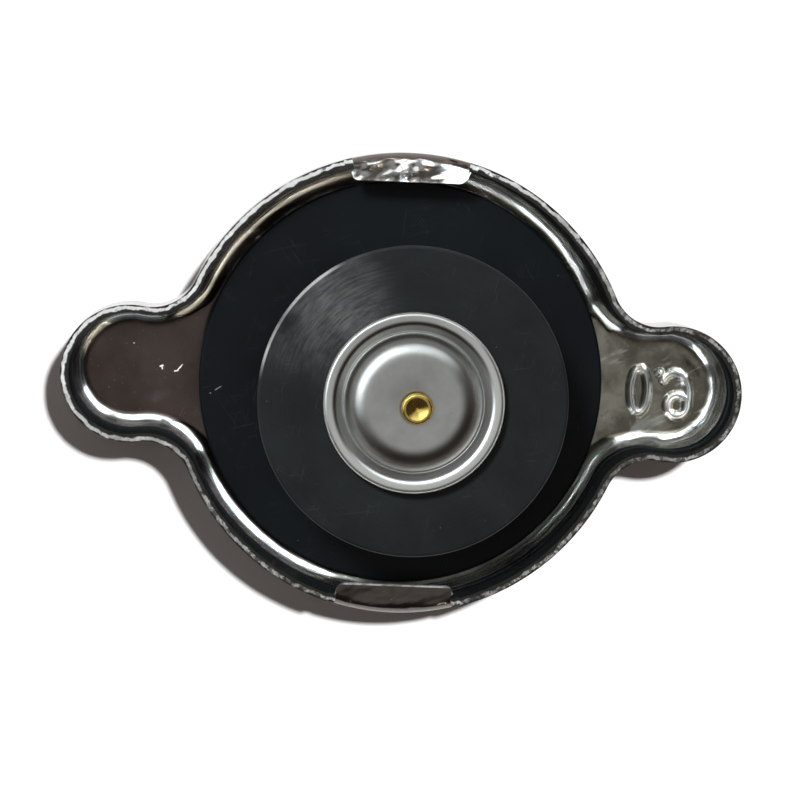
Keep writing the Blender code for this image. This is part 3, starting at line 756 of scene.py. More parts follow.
def gasket_rubber():
    """Dark grey moulded rubber: faint rings, scratches and specks.

    On one side it has painted highlights: a swirl of fine pale streaks, and a pale line along its edge.
    """
    tint = settings("radcap_colours")
    graph = Finish("gasket rubber")
    reach = (GASKET_HIGH[0] - GASKET_LOW[0]) / 2
    radius = graph.radius(VALVE_AXIS)
    around = graph.around(VALVE_AXIS)
    cloud = graph.noise(110.0, 5.0, 0.6)
    across = radius * 4200.0
    rings = graph.noise(1.0, 3.0, 0.6, graph.flat(across))
    shade = rings * 0.3 + cloud * 0.7
    base = graph.mix(shade.range(0.38, 0.62, 0.0, 1.0), tint.gasket, toned(tint.gasket, 1.8))
    # Painted highlight: a swirl of pale streaks on one side.
    swirl = graph.noise(1.0, 5.0, 0.7, graph.flat(across, around * 5.0)).range(0.35, 0.70, 0.15, 1.0)
    side = abs(around - math.radians(136)).step(0.72, 0.02) * cloud.step(0.30, 0.62)
    base = graph.mix(swirl * side * 0.75, base, GASKET_SWIRL_HIGHLIGHT)
    # Painted highlight along the edge on the same side.
    lit_edge = radius.step(reach - 0.32 * MM, reach - 0.18 * MM) * cloud.range(0.3, 0.6, 0.2, 1.0)
    lit_edge = lit_edge * abs(around - math.radians(146)).step(0.50, 0.30)
    base = graph.mix(lit_edge * 0.8, base, GASKET_EDGE_HIGHLIGHT)
    mark = graph.scratches(2.2) * 0.14 | graph.specks(500.0, 0.035) * 0.5
    return graph.done(
        Base_Color=graph.mix(mark, base, GASKET_SCRATCH),
        Specular_IOR_Level=0.27,
        Roughness=rings.range(0.3, 0.7, 0.40, 0.52),
        Normal=graph.bump(rings + graph.noise(2200.0, 3.0), 0.12, 0.04 * MM),
    )


def pressed_stainless():
    """Pressed stainless steel with a satin skin, fine turned lines and small specks.

    The cup's shoulder is painted brown as shade on the side away from the window, its slope on the other, and
    its rim has a painted highlight.
    """
    tint = settings("radcap_colours")
    cup = settings("radcap_valve")
    flat, foot = cup.cup_flat, cup.cup_foot
    graph = Finish("pressed stainless")
    radius = graph.radius(VALVE_AXIS)
    rings = graph.noise(1.0, 4.0, 0.7, graph.flat(radius * 9000.0))
    cloud = graph.noise(300.0, 5.0, 0.6)
    base = graph.mix(cloud.range(0.35, 0.65, 0.0, 1.0), toned(tint.stainless, 0.82), tint.stainless)
    base = graph.mix(graph.specks(800.0, 0.07) * 0.4, base, STEEL_SPECK)
    facing = graph.math("COSINE", graph.around(VALVE_AXIS) - math.radians(-62))
    shoulder = radius.step(flat + 0.3 * MM, flat + 1.2 * MM) * radius.step(foot + 0.1 * MM, foot - 0.2 * MM)
    slope = radius.step(foot + 0.1 * MM, foot + 0.3 * MM) * radius.step(foot + 1.35 * MM, foot + 1.0 * MM)
    # Painted shade: the shoulder away from the window, and the slope on the other side, are coloured dull
    # brown.
    dull = shoulder * facing.step(0.0, 0.8) | slope * facing.step(0.3, -0.6)
    base = graph.mix(dull * 0.8, base, SHOULDER_SHADE)
    # Painted highlight on the rim.
    lit_rim = radius.step(foot, foot + 0.2 * MM) * facing.step(-1.4, 0.5)
    return graph.done(
        Base_Color=graph.mix(lit_rim * (1.0 - dull), base, RIM_HIGHLIGHT),
        Metallic=1.0,
        Roughness=rings.range(0.3, 0.7, 0.26, 0.35),
        Normal=graph.bump(rings + graph.noise(2500.0, 3.0), 0.05, 0.03 * MM),
    )


def turned_brass():
    """Bright turned brass with rings from the tool."""
    tint = settings("radcap_colours")
    graph = Finish("turned brass")
    rings = graph.noise(1.0, 3.0, 0.6, graph.flat(graph.radius(VALVE_AXIS) * 7000.0))
    cloud = graph.noise(900.0, 3.0)
    return graph.done(
        Base_Color=graph.mix(cloud.range(0.3, 0.7, 0.0, 1.0), toned(tint.brass, 0.6), tint.brass),
        Metallic=1.0,
        Roughness=rings.range(0.3, 0.7, 0.12, 0.28),
        Normal=graph.bump(rings, 0.15, 0.05 * MM),
    )


def plated_steel(name, tint, roughness):
    """Plated or drawn steel with a cloudy tone and a fine grain."""
    graph = Finish(name)
    cloud = graph.noise(350.0, 5.0, 0.6)
    grain = graph.noise(3500.0, 3.0)
    return graph.done(
        Base_Color=graph.mix(cloud.range(0.3, 0.7, 0.0, 1.0), toned(tint, 0.7), tint),
        Metallic=1.0,
        Roughness=grain.range(0.3, 0.7, roughness - 0.06, roughness + 0.08),
        Normal=graph.bump(grain, 0.15, 0.04 * MM),
    )


def zinc_finish():
    """Zinc plate, made once."""
    made = bpy.data.materials.get("zinc plate")
    return made or plated_steel("zinc plate", settings("radcap_colours").zinc, 0.34)


def spring_finish():
    """Spring wire, made once."""
    made = bpy.data.materials.get("spring wire")
    return made or plated_steel("spring wire", settings("radcap_colours").spring, 0.36)


def outline_arcs(size):
    """The skirt's radius, the ear's middle, the middle of the hollow between them and where the arcs meet."""
    body_r = SHELL_HIGH[1]
    ear_x = SHELL_HIGH[0] - size.ear
    to_body = body_r + size.ear_blend
    to_ear = size.ear + size.ear_blend
    lean = math.acos((to_body**2 + ear_x**2 - to_ear**2) / (2 * to_body * ear_x))
    blend = (to_body * math.cos(lean), to_body * math.sin(lean))
    ear_end = math.atan2(blend[1], blend[0] - ear_x)
    return body_r, ear_x, blend, lean, ear_end


def outline_depth(points, size):
    """How deep points lie inside the outline: the arc's radius less the distance from its middle.

    On the hollow it is the other way round. The angle at the body's and at the ear's middle says which of
    the arcs a point faces.
    """
    body_r, ear_x, blend, lean, ear_end = outline_arcs(size)
    x, y = np.abs(points[:, 0]), np.abs(points[:, 1])
    body = body_r - np.hypot(x, y)
    ear = size.ear - np.hypot(x - ear_x, y)
    hollow = np.hypot(x - blend[0], y - blend[1]) - size.ear_blend
    hollow = np.where(np.arctan2(y, x - ear_x) < ear_end, ear, hollow)
    return np.where(np.arctan2(y, x) > lean, body, hollow)


def outline_ring(size):
    """The shell's outline as columns that run counterclockwise from the tip of the right ear.

    A quarter is five arcs: the ear's round end, the hollow beside it, the skirt, the notch and half the
    tab. Each point is centre + radius (cos a, sin a), and the other quarters mirror it. On the hollow, side
    is -1, so that an inset moves a point inwards there too.
    """
    body_r, ear_x, blend, lean, ear_end = outline_arcs(size)
    tab_side = math.acos(size.tab_width / 2 / body_r)
    notch_side = math.acos((size.tab_width / 2 + size.relief) / body_r)
    arcs = (
        ((ear_x, 0), size.ear, 1, 0, ear_end, EAR_COLUMNS, PLAIN),
        (blend, size.ear_blend, -1, ear_end + math.pi, lean + math.pi, BLEND_COLUMNS, PLAIN),
        ((0, 0), body_r, 1, lean, notch_side, BODY_COLUMNS, PLAIN),
        ((0, 0), body_r, 1, notch_side, tab_side, RELIEF_COLUMNS, NOTCH),
        ((0, 0), body_r, 1, tab_side, math.pi / 2, TAB_COLUMNS, TAB),
    )
    parts = []
    for centre, radius, side, start, end, steps, kind in arcs:
        angle = np.linspace(start, end, steps + 1)
        part = np.empty((steps + 1, 6))
        part[:] = (centre[0], centre[1], radius, side, 0, kind)
        part[:, 4] = angle
        parts.append(part[1:] if parts else part)
    quarter = np.concatenate(parts)
    last_notch = np.flatnonzero(quarter[:, 5] == NOTCH)[-1]
    quarter[last_notch, 5] = TAB
    there, back = quarter[:-1], quarter[:0:-1]
    ring = np.concatenate((there, back, there, back))
    x_sign = np.repeat((1, -1, -1, 1), (len(there), len(back), len(there), len(back)))
    y_sign = np.repeat((1, 1, -1, -1), (len(there), len(back), len(there), len(back)))
    return np.column_stack((ring, x_sign, y_sign))


def inset_points(ring, inset, z):
    """Rows of outline points moved in by an inset, at a height: one value a row, or one for all."""
    inset, z = np.broadcast_arrays(np.atleast_1d(inset)[:, None], np.atleast_1d(z)[:, None])
    reach = ring[:, 2] - ring[:, 3] * inset
    x = ring[:, 6] * (ring[:, 0] + reach * np.cos(ring[:, 4]))
    y = ring[:, 7] * (ring[:, 1] + reach * np.sin(ring[:, 4]))
    return np.stack((x, y, np.broadcast_to(z, x.shape)), axis=-1)


def shell_skin(size):
    """The shell's outer skin as joined grids: hole to skirt, then the plain rims and the two folded tabs.

    The dish drops by a cosine between its flat bottom and the plate, the plate is straight lines from the
    dish to the outline, the corner is a quarter arc, and a tab goes round its fold and in to a straight
    edge with round corners.
    """
    ring = outline_ring(size)
    count = len(ring)
    top = SHELL_HIGH[2]
    corner = size.inner_corner + size.sheet
    foot = inset_points(ring, corner, 0.0)[0]
    way = foot[:, :2] / np.linalg.norm(foot[:, :2], axis=1)[:, None]

    share = np.linspace(0, 1, DISH_ROWS)
    drop = (1 - np.cos(np.pi * share)) / 2
    flat_r = np.linspace(size.hole, size.dimple_flat, FLAT_ROWS + 1)[:-1]
    dish_r = np.concatenate((flat_r, size.dimple_flat + size.dimple_slope * share))
    dish_z = np.concatenate((np.full(FLAT_ROWS, size.dimple_depth), size.dimple_depth * (1 - drop)))
    dish = np.empty((len(dish_r), count, 3))
    dish[:, :, :2] = way * dish_r[:, None, None]
    dish[:, :, 2] = dish_z[:, None]

    across = np.array(PLATE_SHARES)[:, None, None]
    plate = dish[-1] * (1 - across) + foot * across

    a = np.linspace(0, np.pi / 2, CORNER_ROWS)
    bend = inset_points(ring, corner * (1 - np.sin(a)), corner * (1 - np.cos(a)))
    heights = np.linspace(corner, top - size.fold, WALL_ROWS)[1:]
    wall = inset_points(ring, np.zeros(len(heights)), heights)
    base = np.concatenate((dish, plate, bend, wall))
    grids = [(base, grid_faces(len(base), count, close_columns=True))]

    kind = ring[:, 5]
    plain = kind == PLAIN
    turned = np.roll(np.arange(count), count // 4)
    for ear_sign in (1, -1):
        side = turned[plain[turned] & (ring[turned, 6] == ear_sign)]
        order = np.argsort(np.arctan2(*(inset_points(ring[side], 0, 0)[0, :, :2] * ear_sign).T[::-1]))
        side = side[order]
        wear = RIM_WEAR * (1 + np.sin(side * 0.9) * np.sin(side * 0.37 + 1.0))
        rim = inset_points(ring[side], np.zeros(3), np.linspace(top - size.fold, top, 3))
        rim[-1, :, 2] -= wear
        grids.append((rim, grid_faces(3, len(side))))
    for tab_sign in (1, -1):
        side = np.flatnonzero((kind == TAB) & (ring[:, 7] == tab_sign))
        grids.append(tab_grid(size, ring[side], top, tab_sign))
    return joined(grids)


def tab_grid(size, ring, top, sign):
    """A locking tab: a quarter arc for the fold, then straight lines in to the tab's edge."""
    a = np.linspace(0, np.pi / 2, FOLD_ROWS)
    fold = inset_points(ring, size.fold * (1 - np.cos(a)), top - size.fold * (1 - np.sin(a)))
    skirt = inset_points(ring, 0, top)[0]
    corner = np.where(skirt[:, 0] * sign > 0, size.tab_corner, size.tab_corner * 0.6)
    past = np.clip(np.abs(skirt[:, 0]) - (size.tab_width / 2 - corner), 0, corner)
    back = corner - np.sqrt(corner**2 - past**2)
    edge = np.column_stack((skirt[:, 0], sign * (SHELL_HIGH[1] - size.tab_reach + back), skirt[:, 2]))
    share = np.linspace(0, 1, TAB_ROWS + 1)[1:, None, None]
    flat = fold[-1] * (1 - share) + edge * share
    points = np.concatenate((fold, flat))
    return points, grid_faces(len(points), points.shape[1])


def settle(piece):
    """Works the piece's modifiers into its mesh."""
    graph = bpy.context.evaluated_depsgraph_get()
    mesh = bpy.data.meshes.new_from_object(piece.evaluated_get(graph), depsgraph=graph)
    piece.modifiers.clear()
    piece.data = mesh
    mesh.name = piece.name
    mesh.shade_smooth()
    mesh.set_sharp_from_angle(angle=SHARP_ANGLE)


class RADCAP_OT_shell(bpy.types.Operator):
    """Build the pressed shell with its ears, skirt, notches and folded tabs.

    Its outer skin is given the sheet's thickness inwards, and each point knows its depth in the outline.
    """

    bl_idname = "radcap.shell"
    bl_label = "Shell"

    def execute(self, context):
        size = settings("radcap_shell")
        points, faces = shell_skin(size)
        finishes = [chrome_outside(), chrome_inside(), sheared_edge()]
        shell = add_piece("shell_pressing", points, faces, finishes, "shell", closed=False)
        wall = shell.modifiers.new("sheet", "SOLIDIFY")
        wall.thickness = size.sheet
        wall.offset = -1.0
        wall.use_even_offset = True
        wall.material_offset = 1
        wall.material_offset_rim = 2
        settle(shell)
        points = np.empty(len(shell.data.vertices) * 3)
        shell.data.vertices.foreach_get("co", points)
        depth = outline_depth(points.reshape(-1, 3), size).astype(np.float32)
        shell.data.attributes.new("depth", "FLOAT", "POINT").data.foreach_set("value", depth)
        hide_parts("shell")
        return {"FINISHED"}


def ellipse(centre, radii, start, end, steps=160):
    """Even points on an ellipse: x = cx + a cos t, y = cy + b sin t."""
    t = np.radians(np.linspace(start, end, steps))
    return np.column_stack((centre[0] + radii[0] * np.cos(t), centre[1] + radii[1] * np.sin(t)))


def number_strokes():
    """Middle lines of the mirrored number 0.9, in millimetres from the middle of the ear's round end."""
    nought = ellipse((-2.45, -0.39), (0.92, 2.42), 0, 360)
    point = ellipse((-0.25, 1.58), (0.04, 0.04), 0, 360)
    loop = ellipse((1.80, -1.90), (1.08, 1.16), 0, 360)
    tail = ellipse((1.40, -0.75), (1.56, 2.46), -22, 140)
    return np.concatenate((nought, point, loop, tail)) * MM


class RADCAP_OT_number(bpy.types.Operator):
    """Press the plain number in the right ear.

    Its height over the plate is a cosine bell of the distance to the nearest stroke. A flat underside in
    the sheet and a strip round the edge close it.
    """

    bl_idname = "radcap.number"
    bl_label = "Ear number"

    def execute(self, context):
        size = settings("radcap_number")
        shell = settings("radcap_shell")
        ear_x = SHELL_HIGH[0] - shell.ear
        strokes = number_strokes() + (ear_x, 0)
        low = strokes.min(axis=0) - size.reach * 1.2
        high = strokes.max(axis=0) + size.reach * 1.2
        x = np.arange(low[0], high[0], NUMBER_STEP)
        y = np.arange(low[1], high[1], NUMBER_STEP)
        grid = np.stack(np.meshgrid(x, y, indexing="ij"), axis=-1)
        reach = np.linalg.norm(grid[:, :, None, :] - strokes, axis=-1).min(axis=-1)
        bell = (1 + np.cos(np.pi * np.clip(reach / size.reach, 0, 1))) / 2
        rise = bell * (size.height + NUMBER_SUNK) - NUMBER_SUNK
        surface = np.dstack((grid, shell.sheet + rise))
        under = surface.copy()
        under[:, :, 2] = shell.sheet * 0.5
        rows, columns = surface.shape[:2]
        lid = grid_faces(rows, columns)
        shift = rows * columns
        number = np.arange(shift).reshape(rows, columns)
        edge = np.concatenate((number[0], number[1:, -1], number[-1, -2::-1], number[-2:0:-1, 0]))
        after = np.roll(edge, -1)
        side = np.column_stack((edge, after, after + shift, edge + shift))
        points = np.concatenate((surface.reshape(-1, 3), under.reshape(-1, 3)))
        faces = np.concatenate((lid, lid[:, ::-1] + shift, side))
        finish = bpy.data.materials["chrome inside"]
        add_piece("ear_number", points, faces, [finish], "shell")
        return {"FINISHED"}


class RADCAP_OT_seal(bpy.types.Operator):
    """Build the turning seal disc: a flat ring with rounded edges, turned round the rivet's axis."""

    bl_idname = "radcap.seal"
    bl_label = "Upper seal"

    def execute(self, context):
        size = settings("radcap_valve")
        inner = settings("radcap_shell").hole
        profile = ring_loop(inner, SEAL_HIGH[0], SEAL_LOW[2], SEAL_HIGH[2], size.seal_edge)
        seal = add_turned("seal_disc", profile, 200, seal_rubber(), "seal_unit")
        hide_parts("upper_seal")
        return {"FINISHED"}


class RADCAP_OT_gasket(bpy.types.Operator):
    """Build the lower gasket and the plate behind it: turned flat rings with rounded edges."""

    bl_idname = "radcap.gasket"
    bl_label = "Gasket and plate"

    def execute(self, context):
        size = settings("radcap_valve")
        reach = (GASKET_HIGH[0] - GASKET_LOW[0]) / 2
        profile = ring_loop(size.bore, reach, GASKET_LOW[2], GASKET_HIGH[2], size.gasket_edge)
        gasket = add_turned(
            "gasket_ring", profile, 200, gasket_rubber(), "pressure_valve", VALVE_AXIS
        )
        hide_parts("pressure_gasket")
        reach = (PLATE_HIGH[0] - PLATE_LOW[0]) / 2
        profile = ring_loop(size.bore, reach, PLATE_LOW[2], PLATE_HIGH[2], PLATE_EDGE)
        plate = add_turned(
            "gasket_plate", profile, 160, zinc_finish(), "pressure_valve", VALVE_AXIS
        )
        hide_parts("valve_plate")
        return {"FINISHED"}


class RADCAP_OT_cup(bpy.types.Operator):
    """Build the pressed cup of the vacuum valve.

    Its raised middle is flat, then an arc that falls to the foot, and a straight slope rises to the roll.
    """

    bl_idname = "radcap.cup"
    bl_label = "Vacuum cup"

    def execute(self, context):
        size = settings("radcap_valve")
        sheet = size.cup_sheet
        reach = (CUP_HIGH[0] - CUP_LOW[0]) / 2
        top = CUP_HIGH[2]
        valley = CUP_LOW[2] + sheet
        rim = valley + size.cup_rise
        roll = size.cup_roll
        span = size.cup_foot - size.cup_flat
        bend = 2 * math.atan2(top - valley, span)
        shoulder_r = span / math.sin(bend)
        shoulder = arc((size.cup_flat, top - shoulder_r), shoulder_r, 90, 90 - math.degrees(bend), 24)
        corners = (shoulder[-3], shoulder[-1], (reach - roll * 2.4, rim), (reach - roll, rim))
        slope = rounded(corners, (CUP_VALLEY_BEND, CUP_LIP_BEND))
        roll_over = arc((reach - roll, rim - roll), roll, 90, -20, 10)
        line = np.concatenate(([(size.stem + CUP_HOLE_PLAY, top)], shoulder[:-3], slope[:-1], roll_over))
        loop, finish = sheet_loop(line, sheet), pressed_stainless()
        cup = add_turned("cup_pressing", loop, 160, finish, "vacuum_valve", VALVE_AXIS)
        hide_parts("vacuum_cup")
        return {"FINISHED"}


class RADCAP_OT_stem(bpy.types.Operator):
    """Build the brass stem, with a cone pressed in its head.

    The head's rows are turned like the stem's, from the cone's flat over its lip and the rounded edge, and
    then moved aside together.
    """

    bl_idname = "radcap.stem"
    bl_label = "Brass stem"

    def execute(self, context):
        size = settings("radcap_valve")
        reach = (STEM_HIGH[0] - STEM_LOW[0]) / 2
        top, bottom = STEM_HIGH[2], STEM_LOW[2]
        edge = size.head_edge
        under = top - size.head_height
        foot_top = bottom + STEM_FOOT_HEIGHT
        cone = ((CONE_FOOT, top - size.cone_depth * 0.9), (size.head_cone, top), (reach - edge, top))
        head = np.concatenate(
            (
                [(0, top - size.cone_depth), (CONE_FLAT, top - size.cone_depth)],
                rounded(cone, (CONE_LIP_BEND,)),
                arc((reach - edge, top - edge), edge, 90, 0, 8),
                [(reach, under)],
            )
        )
        shank = [(size.stem, under), (size.stem, foot_top)]
        foot = [(STEM_FOOT, foot_top), (STEM_FOOT, bottom), (0, bottom)]
        points = turned_points(np.concatenate((head, shank, foot)), 96, VALVE_AXIS)
        points[: len(head), :, :2] += np.array(size.head_aside)
        stem = add_rows("stem_turning", points, turned_brass(), "vacuum_valve")
        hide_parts("vacuum_stem")
        return {"FINISHED"}


def coil_points(axis, radius, wire, low, high, turns, closing=0.55, steps=40, sides=14):
    """A wire along a helix: the height climbs less near both ends, by a sine of the share travelled.

    At each step a circle stands across the wire, on the outward direction and on the one square to it and
    to the helix. The circles at the ends close to their middles.
    """
    share = np.linspace(0, 1, round(turns * steps) + 1)
    angle = 2 * np.pi * turns * share
    climb = share - closing * np.sin(2 * np.pi * share) / (2 * np.pi)
    out = np.column_stack((np.cos(angle), np.sin(angle), np.zeros_like(angle)))
    path = out * radius
    path[:, 2] = low + wire / 2 + (high - low - wire) * climb
    path[:, :2] += axis
    along = np.gradient(path, axis=0)
    along /= np.linalg.norm(along, axis=1)[:, None]
    up = np.cross(along, out)
    a = np.linspace(0, 2 * np.pi, sides, endpoint=False)[None, :, None]
    tube = path[:, None] + wire / 2 * (out[:, None] * np.cos(a) + up[:, None] * np.sin(a))
    caps = np.broadcast_to(path[[0, -1], None], (2, sides, 3))
    return np.concatenate((caps[:1], tube, caps[1:]))


class RADCAP_OT_springs(bpy.types.Operator):
    """Wind the two springs.

    What a spring would keep of its length at full lift, one less the lift's share of its height, is worked
    out but not used.
    """

    bl_idname = "radcap.springs"
    bl_label = "Springs"

    def execute(self, context):
        size = settings("radcap_valve")
        travel = {joint["name"]: joint.get("range_m") for joint in frame["joints"]}
        lift = -travel["pressure_lift"][0]
        radius = SPRING_HIGH[0] - size.wire / 2
        points = coil_points(RIVET_AXIS, radius, size.wire, SPRING_LOW[2], SPRING_HIGH[2], MAIN_TURNS)
        main_coil = add_rows("main_spring", points, spring_finish(), "seal_unit")
        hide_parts("pressure_spring")
        keep = 1 - lift / (SPRING_HIGH[2] - SPRING_LOW[2])
        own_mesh(main_coil)

        lift = travel["vacuum_lift"][1]
        radius = (LIGHT_SPRING_HIGH[0] - VALVE_AXIS[0]) - size.light_wire / 2
        low, high = LIGHT_SPRING_LOW[2], LIGHT_SPRING_HIGH[2]
        points = coil_points(VALVE_AXIS, radius, size.light_wire, low, high, LIGHT_TURNS)
        light_coil = add_rows("light_spring", points, spring_finish(), "pressure_valve")
        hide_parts("vacuum_spring")
        keep = 1 - lift / (high - low)
        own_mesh(light_coil)
        return {"FINISHED"}


class RADCAP_OT_hidden(bpy.types.Operator):
    """Build the rivet and the clamp, and finish the inner pieces that stay as they are.

    The rivet is turned from a socket at its clenched end, a rounded roll and the shank to a head whose face
    is a quarter ellipse. The clamp is a cup of sheet with a rounded corner.
    """

    bl_idname = "radcap.hidden"
    bl_label = "Inner pieces"

    def execute(self, context):
        shell = settings("radcap_shell")
        zinc = zinc_finish()
        top, low = RIVET_HIGH[2], RIVET_LOW[2]
        head, head_top = RIVET_HIGH[0], low + RIVET_HEAD
        a = np.radians(np.linspace(0, 90, 12))
        rivet = np.concatenate(
            (
                [(0, top - SOCKET_DEPTH), (SOCKET_BOTTOM, top - SOCKET_DEPTH), (SOCKET_MOUTH, top)],
                arc((RIVET_CLENCH - RIVET_ROLL, top - RIVET_ROLL), RIVET_ROLL, 90, -90, 10),
                [(RIVET_SHANK, top - 2 * RIVET_ROLL), (RIVET_SHANK, head_top), (head, head_top)],
                np.column_stack((head * np.cos(a), low + RIVET_DOME * (1 - np.sin(a)))),
            )
        )
        rivet = add_turned("rivet_turning", rivet, 72, zinc, "shell", closed=False)
        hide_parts("centre_rivet")

        bore = CLAMP_HIGH[0] - CLAMP_SHEET
        skin = CLAMP_LOW[2] + CLAMP_SHEET
        line = rounded(((shell.hole, skin), (bore, skin), (bore, CLAMP_HIGH[2])), (CLAMP_CORNER,))
        loop = sheet_loop(line, CLAMP_SHEET)
        clamp = add_turned("clamp_pressing", loop, 120, zinc, "seal_unit")
        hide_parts("seal_clamp")

        for name in ("valve_cage", "valve_eyelet", "stem_guide", "stem_keeper"):
            dress(name, zinc)
        dress("diaphragm_disc", bpy.data.materials["pressed stainless"])
        dress("friction_washer", bpy.data.materials["turned brass"])
        return {"FINISHED"}


def dress(node, finish):
    """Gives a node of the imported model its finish."""
    piece = frame["nodes"][node]
    piece.data.materials.clear()
    piece.data.materials.append(finish)


def floor_finish():
    """Pale, evenly dull and hardly clouded."""
    tint = settings("radcap_colours")
    graph = Finish("pale floor")
    base = graph.mix(graph.noise(12.0, 3.0), toned(tint.floor, 0.985), tint.floor)
    return graph.done(Base_Color=base, Roughness=0.7, Specular_IOR_Level=0.2)


def collection_of(name, members):
    """A collection for light linking, outside the scene's own tree."""
    found = bpy.data.collections.new(name)
    for member in members:
        found.objects.link(bpy.data.objects[member])
    return found


def add_light(name, kind, strength, side, height, receivers):
    """A light that lights its receivers from a side and a height angle: (cos s cos h, sin s cos h, sin h)."""
    light = in_scene(name, bpy.data.lights.new(name, kind))
    light.data.energy = strength
    way = Vector((math.cos(side) * math.cos(height), math.sin(side) * math.cos(height), math.sin(height)))
    light.location = way * PANE_DISTANCE
    light.rotation_euler = way.to_track_quat("Z", "Y").to_euler()
    light.light_linking.receiver_collection = receivers
    return light


def add_key(name, strength, height, side, softness, receivers):
    """A far, slightly soft light. All pieces shade it, and the metal doesn't mirror it."""
    light = add_light(name, "SUN", strength, side, height, receivers)
    light.data.angle = softness
    light.visible_glossy = False


def add_pane(name, strength, side, height, width, tall, tint, receivers, blockers):
    """A bright pane that lights only its receivers and is shaded only by its blockers."""
    pane = add_light(name, "AREA", strength, side, height, receivers)
    pane.data.shape = "RECTANGLE"
    pane.data.size, pane.data.size_y = width, tall
    pane.data.color = tint
    pane.data.cycles.use_multiple_importance_sampling = False
    pane.light_linking.blocker_collection = blockers


def add_room(window, window_side, ceiling):
    """A room with a mid-grey ceiling, brown walls and a wide window on one side, half way up.

    Rays that a surface scatters see one dim tone in its place.
    """
    world = bpy.data.worlds.new("room")
    graph = Graph(world)

    def ramp(value, stops):
        """A colour between the stops' colours, by where the value lies between their places."""
        node = graph.nodes.new("ShaderNodeValToRGB")
        graph.put(node.inputs["Fac"], value)
        while len(node.color_ramp.elements) < len(stops):
            node.color_ramp.elements.new(0.5)
        for element, (place, tone) in zip(node.color_ramp.elements, stops):
            element.position = place
            element.color = (*tone, 1.0)
        return Wire(graph, node.outputs["Color"])

    way = graph.add("ShaderNodeTexCoord", "Generated", {})
    height = graph.split(way)[2]
    towards = (math.cos(window_side), math.sin(window_side), 0.0)
    wide = ramp(graph.vector("DOT_PRODUCT", "Value", way, towards), WINDOW_WIDTH)
    pane = graph.vector("MULTIPLY", "Vector", ramp(height, WINDOW_SPAN), wide)
    pane = graph.vector("MULTIPLY", "Vector", pane, (window,) * 3)
    walls = graph.vector("MULTIPLY", "Vector", ramp(height, ROOM_TONES), (ceiling,) * 3)
    room = graph.nodes["Background"]
    graph.put(room.inputs["Color"], graph.vector("ADD", "Vector", walls, pane))
    dim = graph.add("ShaderNodeBackground", "Background", {"Color": DIM_ROOM})
    scattered = graph.add("ShaderNodeLightPath", "Is Diffuse Ray", {})
    shaders = {0: scattered, 1: Wire(graph, room.outputs["Background"]), 2: dim}
    mixed = graph.add("ShaderNodeMixShader", "Shader", shaders)
    graph.put(graph.nodes["World Output"].inputs["Surface"], mixed)
    bpy.context.scene.world = world


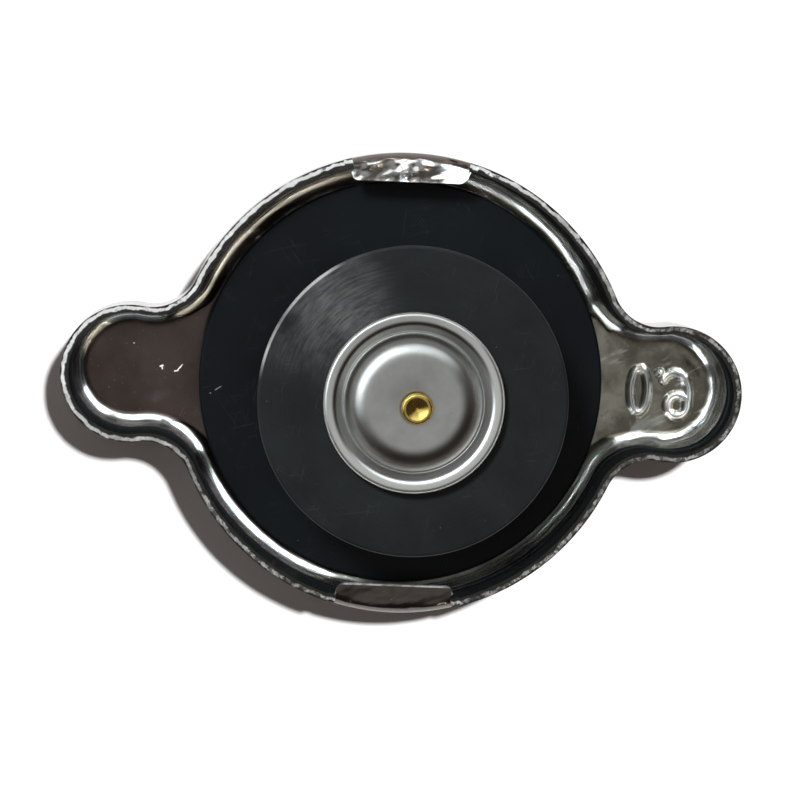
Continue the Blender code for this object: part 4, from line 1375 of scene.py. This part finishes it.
class RADCAP_OT_stage(bpy.types.Operator):
    """Set the floor, the light and the camera.

    The camera looks at the rim's middle from the Z axis leant by the tilt towards the heading, turned by the
    roll, and its lens takes in the width at its distance.
    """

    bl_idname = "radcap.stage"
    bl_label = "Stage"

    def execute(self, context):
        stage = settings("radcap_stage")
        pieces = [piece.name for piece in context.scene.objects if piece.type == "MESH"]
        mesh = bpy.data.meshes.new("floor")
        signs = ((-1, -1), (1, -1), (1, 1), (-1, 1))
        mesh.from_pydata([(x * FLOOR_HALF, y * FLOOR_HALF, -FLOOR_GAP) for x, y in signs], [], [(0, 1, 2, 3)])
        mesh.materials.append(floor_finish())
        floor = in_scene("floor", mesh)

        add_room(stage.window, stage.window_side, stage.ceiling)
        ground, cap = collection_of("ground", ["floor"]), collection_of("cap", pieces)
        add_key("floor_key", stage.key, stage.key_height, stage.key_side, stage.key_softness, ground)
        add_key(
            "cap_key", stage.cap_key, stage.cap_key_height, stage.cap_key_side, stage.cap_key_softness, cap
        )
        groups = {name: collection_of(name, members) for name, members in PANE_GROUPS.items()}
        for name, side, height, power, width, tall, tint, lit, shading in PANES:
            side, height = math.radians(side), math.radians(height)
            strength = power * stage.panes
            add_pane(name, strength, side, height, width, tall, tint, groups[lit], groups[shading])

        lean = Vector((math.cos(stage.heading), math.sin(stage.heading), 0))
        back = (Vector((0, 0, 1)) * math.cos(stage.tilt) + lean * math.sin(stage.tilt)).normalized()
        up = Vector((0, 1, 0))
        up = (up - back * up.dot(back)).normalized()
        up.rotate(Quaternion(back, stage.roll))
        right = up.cross(back)
        aim = Vector((0, 0, SHELL_HIGH[2])) - right * stage.aside - up * stage.above
        turn = Matrix((right, up, back)).transposed().to_4x4()
        data = bpy.data.cameras.new("camera")
        data.sensor_width = SENSOR
        data.lens = SENSOR * stage.distance / stage.width
        data.clip_start = 0.01
        data.clip_end = 10.0
        camera = in_scene("camera", data)
        camera.matrix_world = Matrix.Translation(aim + back * stage.distance) @ turn
        context.scene.camera = camera
        context.scene.view_settings.view_transform = "Standard"
        return {"FINISHED"}


OPERATORS = (
    RADCAP_OT_shell,
    RADCAP_OT_number,
    RADCAP_OT_seal,
    RADCAP_OT_gasket,
    RADCAP_OT_cup,
    RADCAP_OT_stem,
    RADCAP_OT_springs,
    RADCAP_OT_hidden,
    RADCAP_OT_stage,
)
GROUPS = {
    "radcap_shell": RadcapShellSizes,
    "radcap_number": RadcapNumberSizes,
    "radcap_valve": RadcapValveSizes,
    "radcap_colours": RadcapColours,
    "radcap_stage": RadcapStage,
}


class RADCAP_PT_panel(bpy.types.Panel):
    """The cap's sizes, colours and steps."""

    bl_idname = "RADCAP_PT_panel"
    bl_label = "Radiator Cap"
    bl_space_type = "VIEW_3D"
    bl_region_type = "UI"
    bl_category = PANEL_TAB

    def draw(self, context):
        for group, kind in GROUPS.items():
            box = self.layout.box()
            for name in kind.__annotations__:
                box.prop(getattr(context.scene, group), name)
        for operator in OPERATORS:
            self.layout.operator(operator.bl_idname)


def register():
    """Tell Blender the classes, and give each scene the property groups."""
    for kind in (*GROUPS.values(), *OPERATORS, RADCAP_PT_panel):
        bpy.utils.register_class(kind)
    for name, kind in GROUPS.items():
        setattr(bpy.types.Scene, name, PointerProperty(type=kind))


def unregister():
    """Undo what register does."""
    for name in GROUPS:
        delattr(bpy.types.Scene, name)
    for kind in (RADCAP_PT_panel, *reversed(OPERATORS), *reversed(GROUPS.values())):
        bpy.utils.unregister_class(kind)


def main():
    """Run the steps in order."""
    register()
    for operator in OPERATORS:
        group, name = operator.bl_idname.split(".")
        getattr(getattr(bpy.ops, group), name)()


if __name__ == "__main__":
    main()
